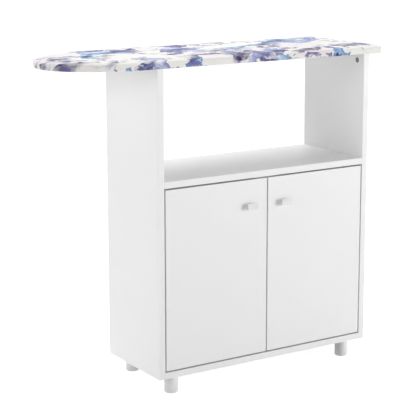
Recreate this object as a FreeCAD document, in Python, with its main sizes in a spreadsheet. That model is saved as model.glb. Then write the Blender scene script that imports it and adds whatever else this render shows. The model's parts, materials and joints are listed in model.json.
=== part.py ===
import FreeCAD, Part
import os
import re

from FreeCAD import Rotation, Vector

# Ironing board cabinet: a padded board with a rounded nose stands on two tall side panels. A counter and
# a bottom panel join the sides and make a cupboard with two inset doors, under an open bay.
# X runs along the board, +Y from the doors to the back and Z up. The origin is on the floor, below the
# middle of the whole object. Lengths are millimetres.

SIZES = {
    # carcass
    "cabinet_width": 690,
    "cabinet_depth": 278,
    "side_height": 832,
    "counter_height": 586,
    "panel_thickness": 18,
    "back_thickness": 3,
    "shelf_thickness": 15,
    "shelf_level": 302,
    "shelf_set_back": 45,
    "shelf_gap": 1,
    # ironing board
    "overhang_left": 254,
    "overhang_right": 54,
    "board_width": 333,
    "board_thickness": 15,
    "board_set_back": 1,
    "nose_length": 225,
    "board_corner": 18,
    "pad_thickness": 6,
    "pad_rounding": 4,
    "cover_thickness": 1,
    "cover_clearance": 0.2,
    "hem_width": 34,
    "hem_notch_gap": 3,
    # doors
    "door_thickness": 15,
    "door_gap": 4,
    "meeting_gap": 4,
    "stop_length": 70,
    "stop_depth": 14,
    "stop_height": 18,
    "stop_screw_spacing": 40,
    "bumper_radius": 4,
    "bumper_thickness": 1.7,
    "bumper_clearance": 0.3,
    "bumper_spacing": 44,
    # knobs
    "knob_width": 34,
    "knob_height": 18,
    "knob_head": 4,
    "knob_neck_radius": 6.5,
    "knob_projection": 14,
    "knob_rounding": 1.2,
    "knob_from_edge": 56,
    "knob_from_top": 71.5,
    "knob_screw_radius": 2,
    "knob_screw_reach": 9,
    "knob_screw_head_radius": 4,
    "knob_screw_head": 2.2,
    # feet
    "foot_height": 50,
    "foot_radius": 19,
    "foot_rounding": 3,
    "foot_inset_x": 55,
    "foot_inset_y": 33,
    "stud_radius": 4,
    "stud_in_foot": 22,
    "stud_in_panel": 13,
    # cup hinges
    "hinge_from_end": 80,
    "cup_radius": 17.5,
    "cup_depth": 11.4,
    "cup_wall": 1.2,
    "cup_floor": 0.6,
    "cup_from_edge": 5,
    "rim_width": 1.5,
    "rim_thickness": 1,
    "ear_length": 60,
    "ear_width": 15,
    "ear_offset": 6,
    "cup_screw_spacing": 46,
    "pin_radius": 1.2,
    "pin_length": 28.8,
    "pin_from_edge": 14,
    "pin_depth": 7.1,
    "pin_clearance": 0.08,
    "eye_radius": 2.4,
    "arm_metal": 2.4,
    "arm_width": 13,
    "arm_crown_reach": 22.2,
    "arm_crown_depth": 9.5,
    "arm_neck_reach": 30,
    "arm_neck_depth": 7.8,
    "arm_elbow_reach": 32.5,
    "arm_elbow_depth": 23,
    "arm_knee_reach": 22.5,
    "arm_knee_depth": 30.3,
    "arm_line": 7,
    "arm_line_start": 35.3,
    "arm_line_end": 64,
    "arm_screw_depth": 57,
    "arm_screw_length": 7,
    "plate_start": 38,
    "plate_width": 16,
    "wing_height": 2,
    "wing_span": 50,
    "wing_width": 14,
    "wing_start": 40,
    "wing_screw_spacing": 32,
    # cams, bolts, dowels and shelf pins
    "cam_radius": 7.5,
    "cam_depth": 13.2,
    "cam_from_end": 20,
    "cam_hollow_radius": 3.3,
    "cam_hollow_back": 3.5,
    "cam_slot_width": 1.6,
    "cam_slot_length": 9,
    "cam_slot_depth": 2,
    "bolt_thread_radius": 2.5,
    "bolt_thread_length": 11,
    "bolt_radius": 3.5,
    "bolt_shank": 12,
    "bolt_neck_radius": 2,
    "bolt_head_radius": 3,
    "bolt_head": 3,
    "dowel_radius": 4,
    "dowel_length": 30,
    "dowel_seat": 10,
    "dowel_spacing": 32,
    "top_joint_inset": 31,
    "level_joint_inset": 75,
    "peg_radius": 2.5,
    "peg_seat": 9,
    "peg_reach": 9,
    "peg_inset": 37,
    # screws and nails
    "screw_radius": 1.75,
    "screw_length": 12,
    "screw_head_radius": 3.4,
    "screw_head": 1.8,
    "screw_slot_width": 0.9,
    "screw_slot_depth": 0.8,
    "nail_radius": 0.8,
    "nail_length": 15,
    "nail_head_radius": 1.8,
    "nail_head": 0.6,
    "nail_spacing_share": 0.23,
    # fits
    "fit_clearance": 0.1,
    "overrun": 1,
}

NAME = re.compile(r"\b(" + "|".join(SIZES) + r")\b")
SIDES = ("left", "right")
LEVEL_TOLERANCE = 0.001

# Places that follow from the sizes, as formulas for the sheet.
BOARD_LENGTH = "(overhang_left + cabinet_width + overhang_right)"
BOARD_TIP = f"(- {BOARD_LENGTH} / 2)"
BOARD_END = f"({BOARD_LENGTH} / 2)"
LEFT = f"({BOARD_TIP} + overhang_left)"
RIGHT = f"({LEFT} + cabinet_width)"
MIDDLE = f"({LEFT} + cabinet_width / 2)"
INNER = {"left": f"({LEFT} + panel_thickness)", "right": f"({RIGHT} - panel_thickness)"}
INNER_WIDTH = "(cabinet_width - 2 * panel_thickness)"
FRONT = "((knob_projection - board_set_back - board_width) / 2)"
BACK = f"({FRONT} + cabinet_depth)"
BOARD_MIDDLE = f"({FRONT} + board_set_back + board_width / 2)"
FLOOR_TOP = "(foot_height + panel_thickness)"
COUNTER_UNDER = "(counter_height - panel_thickness)"
SIDE_TOP = "(foot_height + side_height)"
CORE_TOP = f"({SIDE_TOP} + board_thickness)"
PAD_TOP = f"({CORE_TOP} + pad_thickness)"
COVER_TOP = f"({PAD_TOP} + cover_clearance + cover_thickness)"
DOOR_WIDTH = f"(({INNER_WIDTH} - 2 * door_gap - meeting_gap) / 2)"
DOOR_BOTTOM = f"({FLOOR_TOP} + door_gap)"
DOOR_TOP = f"({COUNTER_UNDER} - door_gap)"
DOOR_REAR = f"({FRONT} + door_thickness)"
KNOB_LEVEL = f"({DOOR_TOP} - knob_from_top)"
KNOB_FROM_HINGED_EDGE = f"({DOOR_WIDTH} + meeting_gap / 2 - knob_from_edge)"
HINGE_LEVELS = {"upper": f"({DOOR_TOP} - hinge_from_end)", "lower": f"({DOOR_BOTTOM} + hinge_from_end)"}
CUP_FROM_EDGE = "(cup_from_edge + cup_radius)"
LEVEL_UNDERSIDES = {"bottom": "foot_height", "counter": COUNTER_UNDER}

# Depths of the bolts and of the dowels of a joint between a side panel and another panel.
TOP_BOLTS = (f"({FRONT} + top_joint_inset)", f"({BACK} - top_joint_inset)")
TOP_DOWELS = (f"({FRONT} + top_joint_inset + dowel_spacing)", f"({BACK} - top_joint_inset - dowel_spacing)")
LEVEL_BOLTS = (f"({FRONT} + level_joint_inset)", f"({BACK} - level_joint_inset)")
LEVEL_DOWELS = (f"({FRONT} + level_joint_inset + dowel_spacing)",
                f"({BACK} - level_joint_inset - dowel_spacing)")
PEG_DEPTHS = (f"({FRONT} + shelf_set_back + peg_inset)", f"({BACK} - peg_inset)")
PEG_LEVEL = "(shelf_level - peg_radius)"

# Directions that a rod or a hole can run in.
TURNS = {
    "+x": Rotation(Vector(0, 1, 0), 90),
    "-x": Rotation(Vector(0, 1, 0), -90),
    "+y": Rotation(Vector(1, 0, 0), -90),
    "-y": Rotation(Vector(1, 0, 0), 90),
    "+z": Rotation(),
    "-z": Rotation(Vector(1, 0, 0), 180),
}
TOWARD_MIDDLE = {"left": "+x", "right": "-x"}
TOWARD_SIDE = {"left": "-x", "right": "+x"}
MIRROR_TURN = {"left": None, "right": Rotation(Vector(0, 1, 0), 180)}

doc = FreeCAD.newDocument("ironing_board_cabinet")
sheet = doc.addObject("Spreadsheet::Sheet", "sizes")
for row, (size_name, number) in enumerate(SIZES.items(), start=1):
    sheet.set(f"A{row}", size_name)
    sheet.set(f"B{row}", str(number))
    sheet.setAlias(f"B{row}", size_name)
doc.recompute()
subparts = []


# Building blocks
def bind(piece, prop, text):
    """Drives one property of a piece by a formula in the sheet's names."""
    piece.setExpression(prop, NAME.sub(lambda found: "sizes." + found[0], str(text)))


def put(piece, place, turn=None):
    """Stands a piece at a place given by three formulas, turned first if asked."""
    if turn is not None:
        piece.Placement = FreeCAD.Placement(Vector(), turn)
    for axis, text in zip("xyz", place):
        bind(piece, f"Placement.Base.{axis}", text)
    return piece


def box(name, size, corner):
    """A block by its three sizes and its lowest corner."""
    piece = doc.addObject("Part::Box", name)
    for prop, text in zip(("Length", "Width", "Height"), size):
        bind(piece, prop, text)
    return put(piece, corner)


def rod(name, radius, length, start, direction):
    """A cylinder that starts at a point and runs in one of the six directions."""
    piece = doc.addObject("Part::Cylinder", name)
    bind(piece, "Radius", radius)
    bind(piece, "Height", length)
    return put(piece, start, TURNS[direction])


def fuse(name, pieces):
    """One solid out of pieces that touch or overlap, or one cutter out of several."""
    if len(pieces) == 1:
        return pieces[0]
    piece = doc.addObject("Part::MultiFuse", name)
    piece.Shapes = pieces
    piece.Refine = True
    return piece


def cut(name, base, cutters):
    """A piece with the cutters' room taken out of it."""
    piece = doc.addObject("Part::Cut", name)
    piece.Base = base
    piece.Tool = fuse(name + "_cutters", cutters)
    piece.Refine = True
    return piece


def group(name, pieces):
    """Separate solids that share one node."""
    piece = doc.addObject("Part::Compound", name)
    piece.Links = pieces
    return piece


def rounded(name, base, radius, wanted):
    """A piece with the edges that wanted() picks rounded."""
    doc.recompute()
    piece = doc.addObject("Part::Fillet", name)
    piece.Base = base
    size = float(sheet.get(radius)) if radius in SIZES else radius
    piece.Edges = [(i, size, size) for i, edge in enumerate(base.Shape.Edges, start=1) if wanted(edge)]
    return piece


def keep(node, piece):
    """Marks a finished piece as a sub-part with its node name."""
    piece.Label = node
    subparts.append(piece)


def step(place, direction, distance):
    """A point moved by a distance in one of the six directions."""
    return tuple(f"({text} {direction[0]} {distance})" if direction[1] == axis else text
                 for axis, text in zip("xyz", place))


def opposite(direction):
    """The direction that points the other way."""
    return {"+": "-", "-": "+"}[direction[0]] + direction[1]


def drill(name, radius, depth, mouth, direction, clearance="fit_clearance"):
    """A cutter for a hole whose mouth lies at a point of a face, with its fit."""
    start = step(mouth, opposite(direction), "overrun")
    return rod(name, f"({radius} + {clearance})", f"({depth} + {clearance} + overrun)", start, direction)


def inward(side, distance, length="0"):
    """The low X of something of a length that lies at a distance inward of a side panel's inner face."""
    if side == "left":
        return f"({INNER['left']} + {distance})"
    return f"({INNER['right']} - {distance} - {length})"


def hinge_frame(side, level):
    """Where a hinge's own axes start: X inward of the side panel, Y behind the door's front."""
    return (INNER[side], FRONT, level)


# Fasteners
def screw(name, seat, direction, length="screw_length"):
    """A slotted screw whose head rests on a face at the seat."""
    back = opposite(direction)
    shank = rod(name + "_shank", "screw_radius", length, seat, direction)
    head = rod(name + "_head", "screw_head_radius", "screw_head", seat, back)
    top = step(seat, back, "(screw_head - screw_slot_depth)")
    slot_height = "(screw_slot_depth + overrun)"
    spans = {axis: "(2 * screw_head_radius + overrun)" for axis in "xyz"}
    thin = {"x": "z", "y": "z", "z": "x"}[direction[1]]
    spans[direction[1]] = slot_height
    spans[thin] = "screw_slot_width"
    corner = []
    for axis, text in zip("xyz", top):
        if axis != direction[1]:
            corner.append(f"({text} - {spans[axis]} / 2)")
        elif back[0] == "+":
            corner.append(text)
        else:
            corner.append(f"({text} - {slot_height})")
    slot = box(name + "_slot", [spans[axis] for axis in "xyz"], corner)
    return cut(name, fuse(name + "_blank", [shank, head]), [slot])


def cam(name, face, depth_direction, bolt_direction):
    """A round cam in a panel's face, open towards the bolt that it draws in."""
    body = rod(name + "_body", "cam_radius", "cam_depth", face, depth_direction)
    middle = step(face, depth_direction, "(panel_thickness / 2)")
    start = step(middle, opposite(bolt_direction), "cam_hollow_back")
    hollow = rod(name + "_hollow", "cam_hollow_radius", "(cam_radius + cam_hollow_back + overrun)",
                 start, bolt_direction)
    spans = {axis: "cam_slot_width" for axis in "xyz"}
    spans[depth_direction[1]] = "(2 * cam_slot_depth)"
    spans["y"] = "cam_slot_length"
    slot = box(name + "_slot", [spans[axis] for axis in "xyz"],
               [f"({text} - {spans[axis]} / 2)" for axis, text in zip("xyz", face)])
    return cut(name, body, [hollow, slot])


def cam_bolt(name, joint, direction):
    """A bolt with its thread in one panel and its head in the other panel's cam."""
    neck_start = step(joint, direction, "bolt_shank")
    head_end = step(joint, direction, "(cam_from_end + bolt_head / 2)")
    back = opposite(direction)
    thread = rod(name + "_thread", "bolt_thread_radius", "bolt_thread_length", joint, back)
    shank = rod(name + "_shank", "bolt_radius", "bolt_shank", joint, direction)
    neck = rod(name + "_neck", "bolt_neck_radius", "(cam_from_end - bolt_shank)", neck_start, direction)
    head = rod(name + "_head", "bolt_head_radius", "bolt_head", head_end, back)
    return fuse(name, [thread, shank, neck, head])


def joints():
    """Every bolted joint: its name, the bolts' and dowels' depths, the joint's point and its directions."""
    found = []
    for side in SIDES:
        middle = inward(side, "(- panel_thickness / 2)")
        found.append({
            "name": f"top_{side}", "side": side, "bolts": TOP_BOLTS, "dowels": TOP_DOWELS,
            "x": middle, "z": SIDE_TOP, "bolt": "-z",
            "cam_face": (inward(side, "0"), f"({SIDE_TOP} - cam_from_end)"),
            "cam_depth": TOWARD_SIDE[side], "end_panel": "side", "face_panel": "core",
        })
        for level, underside in LEVEL_UNDERSIDES.items():
            found.append({
                "name": f"{level}_{side}", "side": side, "bolts": LEVEL_BOLTS, "dowels": LEVEL_DOWELS,
                "x": inward(side, "0"), "z": f"({underside} + panel_thickness / 2)", "bolt": TOWARD_MIDDLE[side],
                "cam_face": (inward(side, "cam_from_end"), underside), "cam_depth": "+z",
                "end_panel": level, "face_panel": "side",
            })
    return found


JOINTS = joints()


def end_holes(panel, side=None):
    """Cutters for the panel that holds the cams: cam pockets, bolt passages and dowel holes in its end."""
    cutters = []
    for joint in JOINTS:
        if joint["end_panel"] != panel or (side and joint["side"] != side):
            continue
        for i, depth in enumerate(joint["bolts"]):
            name = f"{panel}_end_{joint['name']}_{i}"
            cam_mouth = (joint["cam_face"][0], depth, joint["cam_face"][1])
            cutters.append(drill(name + "_cam", "cam_radius", "cam_depth", cam_mouth, joint["cam_depth"]))
            mouth = (joint["x"], depth, joint["z"])
            cutters.append(drill(name + "_bolt", "bolt_radius", "cam_from_end", mouth, joint["bolt"]))
        for i, depth in enumerate(joint["dowels"]):
            mouth = (joint["x"], depth, joint["z"])
            cutters.append(drill(f"{panel}_end_{joint['name']}_dowel_{i}", "dowel_radius",
                                 "(dowel_length - dowel_seat)", mouth, joint["bolt"]))
    return cutters


def face_holes(panel, side=None):
    """Cutters for the panel that the bolts screw into: thread holes and dowel holes in its face."""
    cutters = []
    for joint in JOINTS:
        if joint["face_panel"] != panel or (side and joint["side"] != side):
            continue
        way = opposite(joint["bolt"])
        for kind, radius, length in (("bolts", "bolt_thread_radius", "bolt_thread_length"),
                                     ("dowels", "dowel_radius", "dowel_seat")):
            for i, depth in enumerate(joint[kind]):
                mouth = (joint["x"], depth, joint["z"])
                cutters.append(drill(f"{panel}_face_{joint['name']}_{kind}_{i}", radius, length, mouth, way))
    return cutters


# Carcass
def side_panel(side):
    """An upright panel from the feet's top to the board, drilled for all that it carries."""
    corner = (inward(side, "(- panel_thickness)", "panel_thickness"), FRONT, "foot_height")
    if side == "right":
        corner = (INNER[side], FRONT, "foot_height")
    panel = box(f"{side}_side_blank", ("panel_thickness", "cabinet_depth", "side_height"), corner)
    cutters = end_holes("side", side) + face_holes("side", side)
    for i, depth in enumerate(PEG_DEPTHS):
        mouth = (INNER[side], depth, PEG_LEVEL)
        cutters.append(drill(f"{side}_peg_hole_{i}", "peg_radius", "peg_seat", mouth, TOWARD_SIDE[side]))
    for height, level in HINGE_LEVELS.items():
        for i, sign in enumerate("-+"):
            mouth = (INNER[side], f"({FRONT} + wing_start + wing_width / 2)",
                     f"({level} {sign} wing_screw_spacing / 2)")
            cutters.append(drill(f"{side}_{height}_wing_hole_{i}", "screw_radius",
                                 "(screw_length - wing_height)",
                                 mouth, TOWARD_SIDE[side]))
    keep(f"{side}_side_panel", cut(f"{side}_side", panel, cutters))


def nail_places():
    """Where the back's nails go in: into the edges of the bottom panel and of the counter."""
    steps_each_way = 2
    return [(f"({MIDDLE} + {k} * nail_spacing_share * {INNER_WIDTH})", BACK,
             f"({underside} + panel_thickness / 2)")
            for underside in LEVEL_UNDERSIDES.values() for k in range(-steps_each_way, steps_each_way + 1)]


def level_panel(level, underside, node):
    """A panel that joins the two sides, with its cams on the underside."""
    panel = box(f"{level}_blank", (INNER_WIDTH, "(cabinet_depth - back_thickness)", "panel_thickness"),
                (INNER["left"], FRONT, underside))
    cutters = end_holes(level)
    for i, (x, y, z) in enumerate(nail_places()):
        if underside in z:
            mouth = (x, f"({BACK} - back_thickness)", z)
            cutters.append(drill(f"{level}_nail_hole_{i}", "nail_radius", "(nail_length - back_thickness)",
                                 mouth, "-y"))
    if level == "bottom":
        for name, (x, y) in foot_places().items():
            cutters.append(drill(f"{name}_stud_hole", "stud_radius", "stud_in_panel",
                                 (x, y, "foot_height"), "+z"))
    else:
        for i, (x, y, z) in enumerate(stop_screw_places()):
            length = "(screw_length - stop_height / 2)"
            cutters.append(drill(f"stop_screw_hole_{i}", "screw_radius", length, (x, y, COUNTER_UNDER), "+z"))
    keep(node, cut(level, panel, cutters))


def back_panel():
    """A thin board behind the cupboard, nailed to the counter and the bottom panel."""
    spans = (f"({INNER_WIDTH} - 2 * fit_clearance)", "back_thickness", "(counter_height - foot_height)")
    panel = box("back_blank", spans,
                (f"({INNER['left']} + fit_clearance)", f"({BACK} - back_thickness)", "foot_height"))
    holes = [drill(f"back_nail_hole_{i}", "nail_radius", "(back_thickness + overrun)", place, "-y")
             for i, place in enumerate(nail_places())]
    keep("back_panel", cut("back", panel, holes))


def back_nails():
    """The nails that hold the back."""
    nails = []
    for i, place in enumerate(nail_places()):
        shank = rod(f"nail_{i}_shank", "nail_radius", "nail_length", place, "-y")
        head = rod(f"nail_{i}_head", "nail_head_radius", "nail_head", place, "+y")
        nails.append(fuse(f"nail_{i}", [shank, head]))
    keep("back_nails", group("nails", nails))


def inner_shelf():
    """The loose shelf inside the cupboard, short of the back and of the doors."""
    shelf = box("shelf", (f"({INNER_WIDTH} - 2 * shelf_gap)",
                          "(cabinet_depth - shelf_set_back - back_thickness - shelf_gap)", "shelf_thickness"),
                (f"({INNER['left']} + shelf_gap)", f"({FRONT} + shelf_set_back)", "shelf_level"))
    keep("inner_shelf", shelf)


def shelf_pins():
    """The four pegs under the loose shelf."""
    pegs = []
    for side in SIDES:
        for i, depth in enumerate(PEG_DEPTHS):
            start = (inward(side, "(- peg_seat)"), depth, PEG_LEVEL)
            pegs.append(rod(f"{side}_peg_{i}", "peg_radius", "(peg_seat + peg_reach)",
                            start, TOWARD_MIDDLE[side]))
    keep("shelf_pins", group("pegs", pegs))


def joint_fasteners():
    """The cams, their bolts and the dowels of every joint."""
    cams, bolts, dowels = [], [], []
    for joint in JOINTS:
        for i, depth in enumerate(joint["bolts"]):
            name = f"{joint['name']}_{i}"
            face = (joint["cam_face"][0], depth, joint["cam_face"][1])
            cams.append(cam(f"cam_{name}", face, joint["cam_depth"], opposite(joint["bolt"])))
            bolts.append(cam_bolt(f"bolt_{name}", (joint["x"], depth, joint["z"]), joint["bolt"]))
        for i, depth in enumerate(joint["dowels"]):
            start = step((joint["x"], depth, joint["z"]), opposite(joint["bolt"]), "dowel_seat")
            dowels.append(rod(f"dowel_{joint['name']}_{i}", "dowel_radius", "dowel_length",
                              start, joint["bolt"]))
    keep("cam_locks", group("cams", cams))
    keep("cam_bolts", group("bolts", bolts))
    keep("dowels", group("dowel_group", dowels))


# Feet
def foot_places():
    """The feet's middles by name."""
    columns = {"left": f"({LEFT} + foot_inset_x)", "right": f"({RIGHT} - foot_inset_x)"}
    rows = {"front": f"({FRONT} + foot_inset_y)", "rear": f"({BACK} - foot_inset_y)"}
    return {f"{row}_{side}": (columns[side], rows[row]) for row in rows for side in SIDES}


def foot(name, place):
    """A round foot with a softened lower edge and a hole for its stud."""
    blank = rod(f"{name}_foot_blank", "foot_radius", "foot_height", (*place, "0"), "+z")
    soft = rounded(f"{name}_foot_rounded", blank, "foot_rounding", lambda edge: is_flat_at(0, edge))
    mouth = (*place, "foot_height")
    hole = drill(f"{name}_foot_hole", "stud_radius", "stud_in_foot", mouth, "-z")
    keep(f"{name}_foot", cut(f"{name}_foot_solid", soft, [hole]))


def foot_studs():
    """The studs between the feet and the bottom panel."""
    studs = [rod(f"{name}_stud", "stud_radius", "(stud_in_foot + stud_in_panel)",
                 (*place, "(foot_height - stud_in_foot)"), "+z") for name, place in foot_places().items()]
    keep("foot_studs", group("studs", studs))


# Ironing board
def is_flat_at(level, edge):
    """Whether an edge lies in the horizontal plane at a level."""
    bounds = edge.BoundBox
    return abs(bounds.ZMin - level) < LEVEL_TOLERANCE and abs(bounds.ZMax - level) < LEVEL_TOLERANCE


def board_form(name, inset, bottom, top, rounding=None):
    """A flat form with the board's outline, set in by a distance: an elliptical nose and a straight end."""
    ellipse = doc.addObject("Part::Ellipse", f"{name}_ellipse")
    bind(ellipse, "MajorRadius", f"(nose_length - {inset})")
    bind(ellipse, "MinorRadius", f"(board_width / 2 - {inset})")
    nose_middle = f"({BOARD_TIP} + nose_length)"
    put(ellipse, (nose_middle, BOARD_MIDDLE, bottom))
    nose = doc.addObject("Part::Extrusion", f"{name}_nose")
    nose.Base = ellipse
    nose.DirMode = "Custom"
    nose.Dir = Vector(0, 0, 1)
    nose.Solid = True
    bind(nose, "LengthFwd", f"({top} - {bottom})")
    spans = (f"({BOARD_END} - {inset} - {nose_middle})", f"(board_width - 2 * {inset})", f"({top} - {bottom})")
    end = box(f"{name}_end", spans,
              (nose_middle, f"({BOARD_MIDDLE} - board_width / 2 + {inset})", bottom))
    doc.recompute()
    far_side = end.Shape.BoundBox.XMax
    corner = float(sheet.get("board_corner")) - (end.Placement.Base.y - board_front_edge())
    if corner > float(sheet.get("overrun")):
        end = rounded(f"{name}_cornered", end, corner, lambda edge:
                      edge.BoundBox.ZLength > LEVEL_TOLERANCE
                      and edge.BoundBox.XMin > far_side - LEVEL_TOLERANCE)
    form = fuse(name, [nose, end])
    if rounding is None:
        return form
    doc.recompute()
    level = form.Shape.BoundBox.ZMax
    return rounded(f"{name}_soft", form, rounding, lambda edge: is_flat_at(level, edge))


def board_front_edge():
    """The Y of the board's front edge, from the sheet."""
    size = {key: float(sheet.get(key)) for key in ("knob_projection", "board_set_back", "board_width")}
    return (size["knob_projection"] - size["board_set_back"] - size["board_width"]) / 2 + size["board_set_back"]


SKIN = "(cover_thickness + cover_clearance)"


def board_core():
    """The board itself, with the holes of its bolts and dowels."""
    keep("board_core", cut("core", board_form("core_form", SKIN, SIDE_TOP, CORE_TOP), face_holes("core")))


def board_pad():
    """The foam on the board, with a soft upper edge."""
    keep("board_pad", board_form("pad", SKIN, CORE_TOP, PAD_TOP, "pad_rounding"))


def board_cover():
    """The cover: a skin over the pad and the board's edge, with a hem turned under and notched at the sides."""
    inner_rounding = float(sheet.get("pad_rounding"))
    outer_rounding = inner_rounding + float(sheet.get("cover_thickness"))
    underside = f"({SIDE_TOP} - cover_thickness)"
    outside = board_form("cover_outside", "0", underside, COVER_TOP, outer_rounding)
    inside = board_form("cover_inside", "cover_thickness", SIDE_TOP, f"({COVER_TOP} - cover_thickness)",
                        inner_rounding)
    opening = board_form("cover_opening", "hem_width", f"({underside} - overrun)", f"({SIDE_TOP} + overrun)")
    cutters = [inside, opening]
    for side in SIDES:
        low = f"({INNER[side]} - hem_notch_gap)"
        if side == "left":
            low = inward(side, "(- panel_thickness - hem_notch_gap)")
        notch_width = "(panel_thickness + 2 * hem_notch_gap)"
        notch_depth = "(cabinet_depth + 2 * hem_notch_gap)"
        cutters.append(box(f"cover_{side}_notch", (notch_width, notch_depth, "(cover_thickness + overrun)"),
                           (low, f"({FRONT} - hem_notch_gap)", f"({underside} - overrun)")))
    keep("board_cover", cut("cover", outside, cutters))


# Doors
def door_panel(side):
    """A flat door, drilled behind for its two cups, their screws and the knob's screw."""
    corner = (inward(side, "door_gap", DOOR_WIDTH), FRONT, DOOR_BOTTOM)
    panel = box(f"{side}_door_blank", (DOOR_WIDTH, "door_thickness", f"({DOOR_TOP} - {DOOR_BOTTOM})"), corner)
    cutters = []
    for height, level in HINGE_LEVELS.items():
        mouth = (inward(side, f"(door_gap + {CUP_FROM_EDGE})"), DOOR_REAR, level)
        cutters.append(drill(f"{side}_{height}_cup_hole", "cup_radius", "cup_depth", mouth, "-y"))
        for i, sign in enumerate("-+"):
            seat = (inward(side, f"(door_gap + {CUP_FROM_EDGE} + ear_offset)"), DOOR_REAR,
                    f"({level} {sign} cup_screw_spacing / 2)")
            cutters.append(drill(f"{side}_{height}_cup_screw_hole_{i}", "screw_radius",
                                 "(screw_length - rim_thickness)", seat, "-y"))
    cutters.append(drill(f"{side}_knob_screw_hole", "knob_screw_radius", "(door_thickness + overrun)",
                         knob_place(side, DOOR_REAR), "-y"))
    keep(f"{side}_door_panel", cut(f"{side}_door", panel, cutters))


def knob_place(side, depth):
    """A point on the knob's axis at a depth."""
    return (inward(side, f"(door_gap + {KNOB_FROM_HINGED_EDGE})"), depth, KNOB_LEVEL)


def knob(side):
    """A knob: a soft-edged oblong plate on a short round neck."""
    x, front_face, z = knob_place(side, f"({FRONT} - knob_projection)")
    plate = box(f"{side}_knob_block", ("knob_width", "knob_head", "knob_height"),
                (f"({x} - knob_width / 2)", front_face, f"({z} - knob_height / 2)"))
    soft = rounded(f"{side}_knob_head", plate, "knob_rounding", lambda edge: True)
    neck = rod(f"{side}_knob_neck", "knob_neck_radius", "(knob_projection - knob_head / 2)",
               knob_place(side, FRONT), "-y")
    hole = drill(f"{side}_knob_hole", "knob_screw_radius", "knob_screw_reach", knob_place(side, FRONT), "-y")
    keep(f"{side}_knob", cut(f"{side}_knob_solid", fuse(f"{side}_knob_blank", [soft, neck]), [hole]))


def knob_screw(side):
    """The screw through the door into the knob."""
    seat = knob_place(side, DOOR_REAR)
    shank = rod(f"{side}_knob_screw_shank", "knob_screw_radius", "(door_thickness + knob_screw_reach)",
                seat, "-y")
    head = rod(f"{side}_knob_screw_head", "knob_screw_head_radius", "knob_screw_head", seat, "+y")
    keep(f"{side}_knob_screw", fuse(f"{side}_knob_screw_solid", [shank, head]))


def stop_screw_places():
    """Where the door stop's screws have their heads, in pockets halfway up the stop."""
    y = f"({DOOR_REAR} + bumper_clearance + bumper_thickness + stop_depth / 2)"
    return [(f"({MIDDLE} {sign} stop_screw_spacing / 2)", y, f"({COUNTER_UNDER} - stop_height / 2)")
            for sign in "-+"]


def door_stop():
    """The block under the counter that the doors close against, with its screws and soft bumpers."""
    front = f"({DOOR_REAR} + bumper_clearance + bumper_thickness)"
    block = box("stop_block", ("stop_length", "stop_depth", "stop_height"),
                (f"({MIDDLE} - stop_length / 2)", front, f"({COUNTER_UNDER} - stop_height)"))
    cutters = []
    for i, seat in enumerate(stop_screw_places()):
        cutters.append(drill(f"stop_hole_{i}", "screw_radius", "stop_height", seat, "+z"))
        low = (seat[0], seat[1], f"({COUNTER_UNDER} - stop_height)")
        cutters.append(drill(f"stop_pocket_{i}", "screw_head_radius", "(stop_height / 2 - fit_clearance)",
                             low, "+z"))
    keep("door_stop", cut("stop", block, cutters))
    screws = [screw(f"stop_screw_{i}", seat, "+z") for i, seat in enumerate(stop_screw_places())]
    keep("stop_screws", group("stop_screw_group", screws))
    level = f"({COUNTER_UNDER} - stop_height / 2)"
    bumpers = [rod(f"bumper_{i}", "bumper_radius", "bumper_thickness",
                   (f"({MIDDLE} {sign} bumper_spacing / 2)", front, level), "-y")
               for i, sign in enumerate("-+")]
    keep("door_bumpers", group("bumpers", bumpers))


# Hinges, each made in its own axes and then stood at its side panel
def strip(name, points, thickness, width):
    """A bent strip of metal along points in the XY plane, with rounded bends."""
    pieces = []
    for i, ((x, y), (next_x, next_y)) in enumerate(zip(points, points[1:])):
        length = f"sqrt(({next_x} - {x})^2 + ({next_y} - {y})^2)"
        bar = box(f"{name}_bar_{i}", (length, thickness, width),
                  (f"({x} + {thickness} / 2 * ({next_y} - {y}) / {length})",
                   f"({y} - {thickness} / 2 * ({next_x} - {x}) / {length})", f"(- {width} / 2)"))
        bind(bar, "Placement.Rotation.Angle", f"atan2({next_y} - {y}; {next_x} - {x})")
        pieces.append(bar)
        if i:
            pieces.append(rod(f"{name}_bend_{i}", f"({thickness} / 2)", width, (x, y, f"(- {width} / 2)"), "+z"))
    return pieces


PIN_REACH = "(door_gap + pin_from_edge)"
ARM_POINTS = (
    (PIN_REACH, "pin_depth"),
    ("arm_crown_reach", "arm_crown_depth"),
    ("arm_neck_reach", "arm_neck_depth"),
    ("arm_elbow_reach", "arm_elbow_depth"),
    ("arm_knee_reach", "arm_knee_depth"),
    ("arm_line", "arm_line_start"),
    ("arm_line", "arm_line_end"),
)
PLATE_HEIGHT = "(arm_line - arm_metal / 2)"


def hinge_arm(height, side):
    """The cranked arm, from its eye on the pin to its flat end on the plate."""
    name = f"{height}_{side}_hinge_arm"
    eye = rod(f"{name}_eye", "eye_radius", "arm_width", (PIN_REACH, "pin_depth", "(- arm_width / 2)"), "+z")
    blank = fuse(f"{name}_blank", strip(name, ARM_POINTS, "arm_metal", "arm_width") + [eye])
    bore = rod(f"{name}_bore", "(pin_radius + pin_clearance)", "(arm_width + 2 * overrun)",
               (PIN_REACH, "pin_depth", "(- arm_width / 2 - overrun)"), "+z")
    hole = drill(f"{name}_hole", "screw_radius", "(arm_metal + overrun)", arm_screw_seat(), "-x")
    arm = cut(f"{name}_solid", blank, [bore, hole])
    keep(name, put(arm, hinge_frame(side, HINGE_LEVELS[height]), MIRROR_TURN[side]))


def arm_screw_seat():
    """Where the arm's screw has its head, in the hinge's own axes."""
    return ("(arm_line + arm_metal / 2)", "arm_screw_depth", "0")


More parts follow.
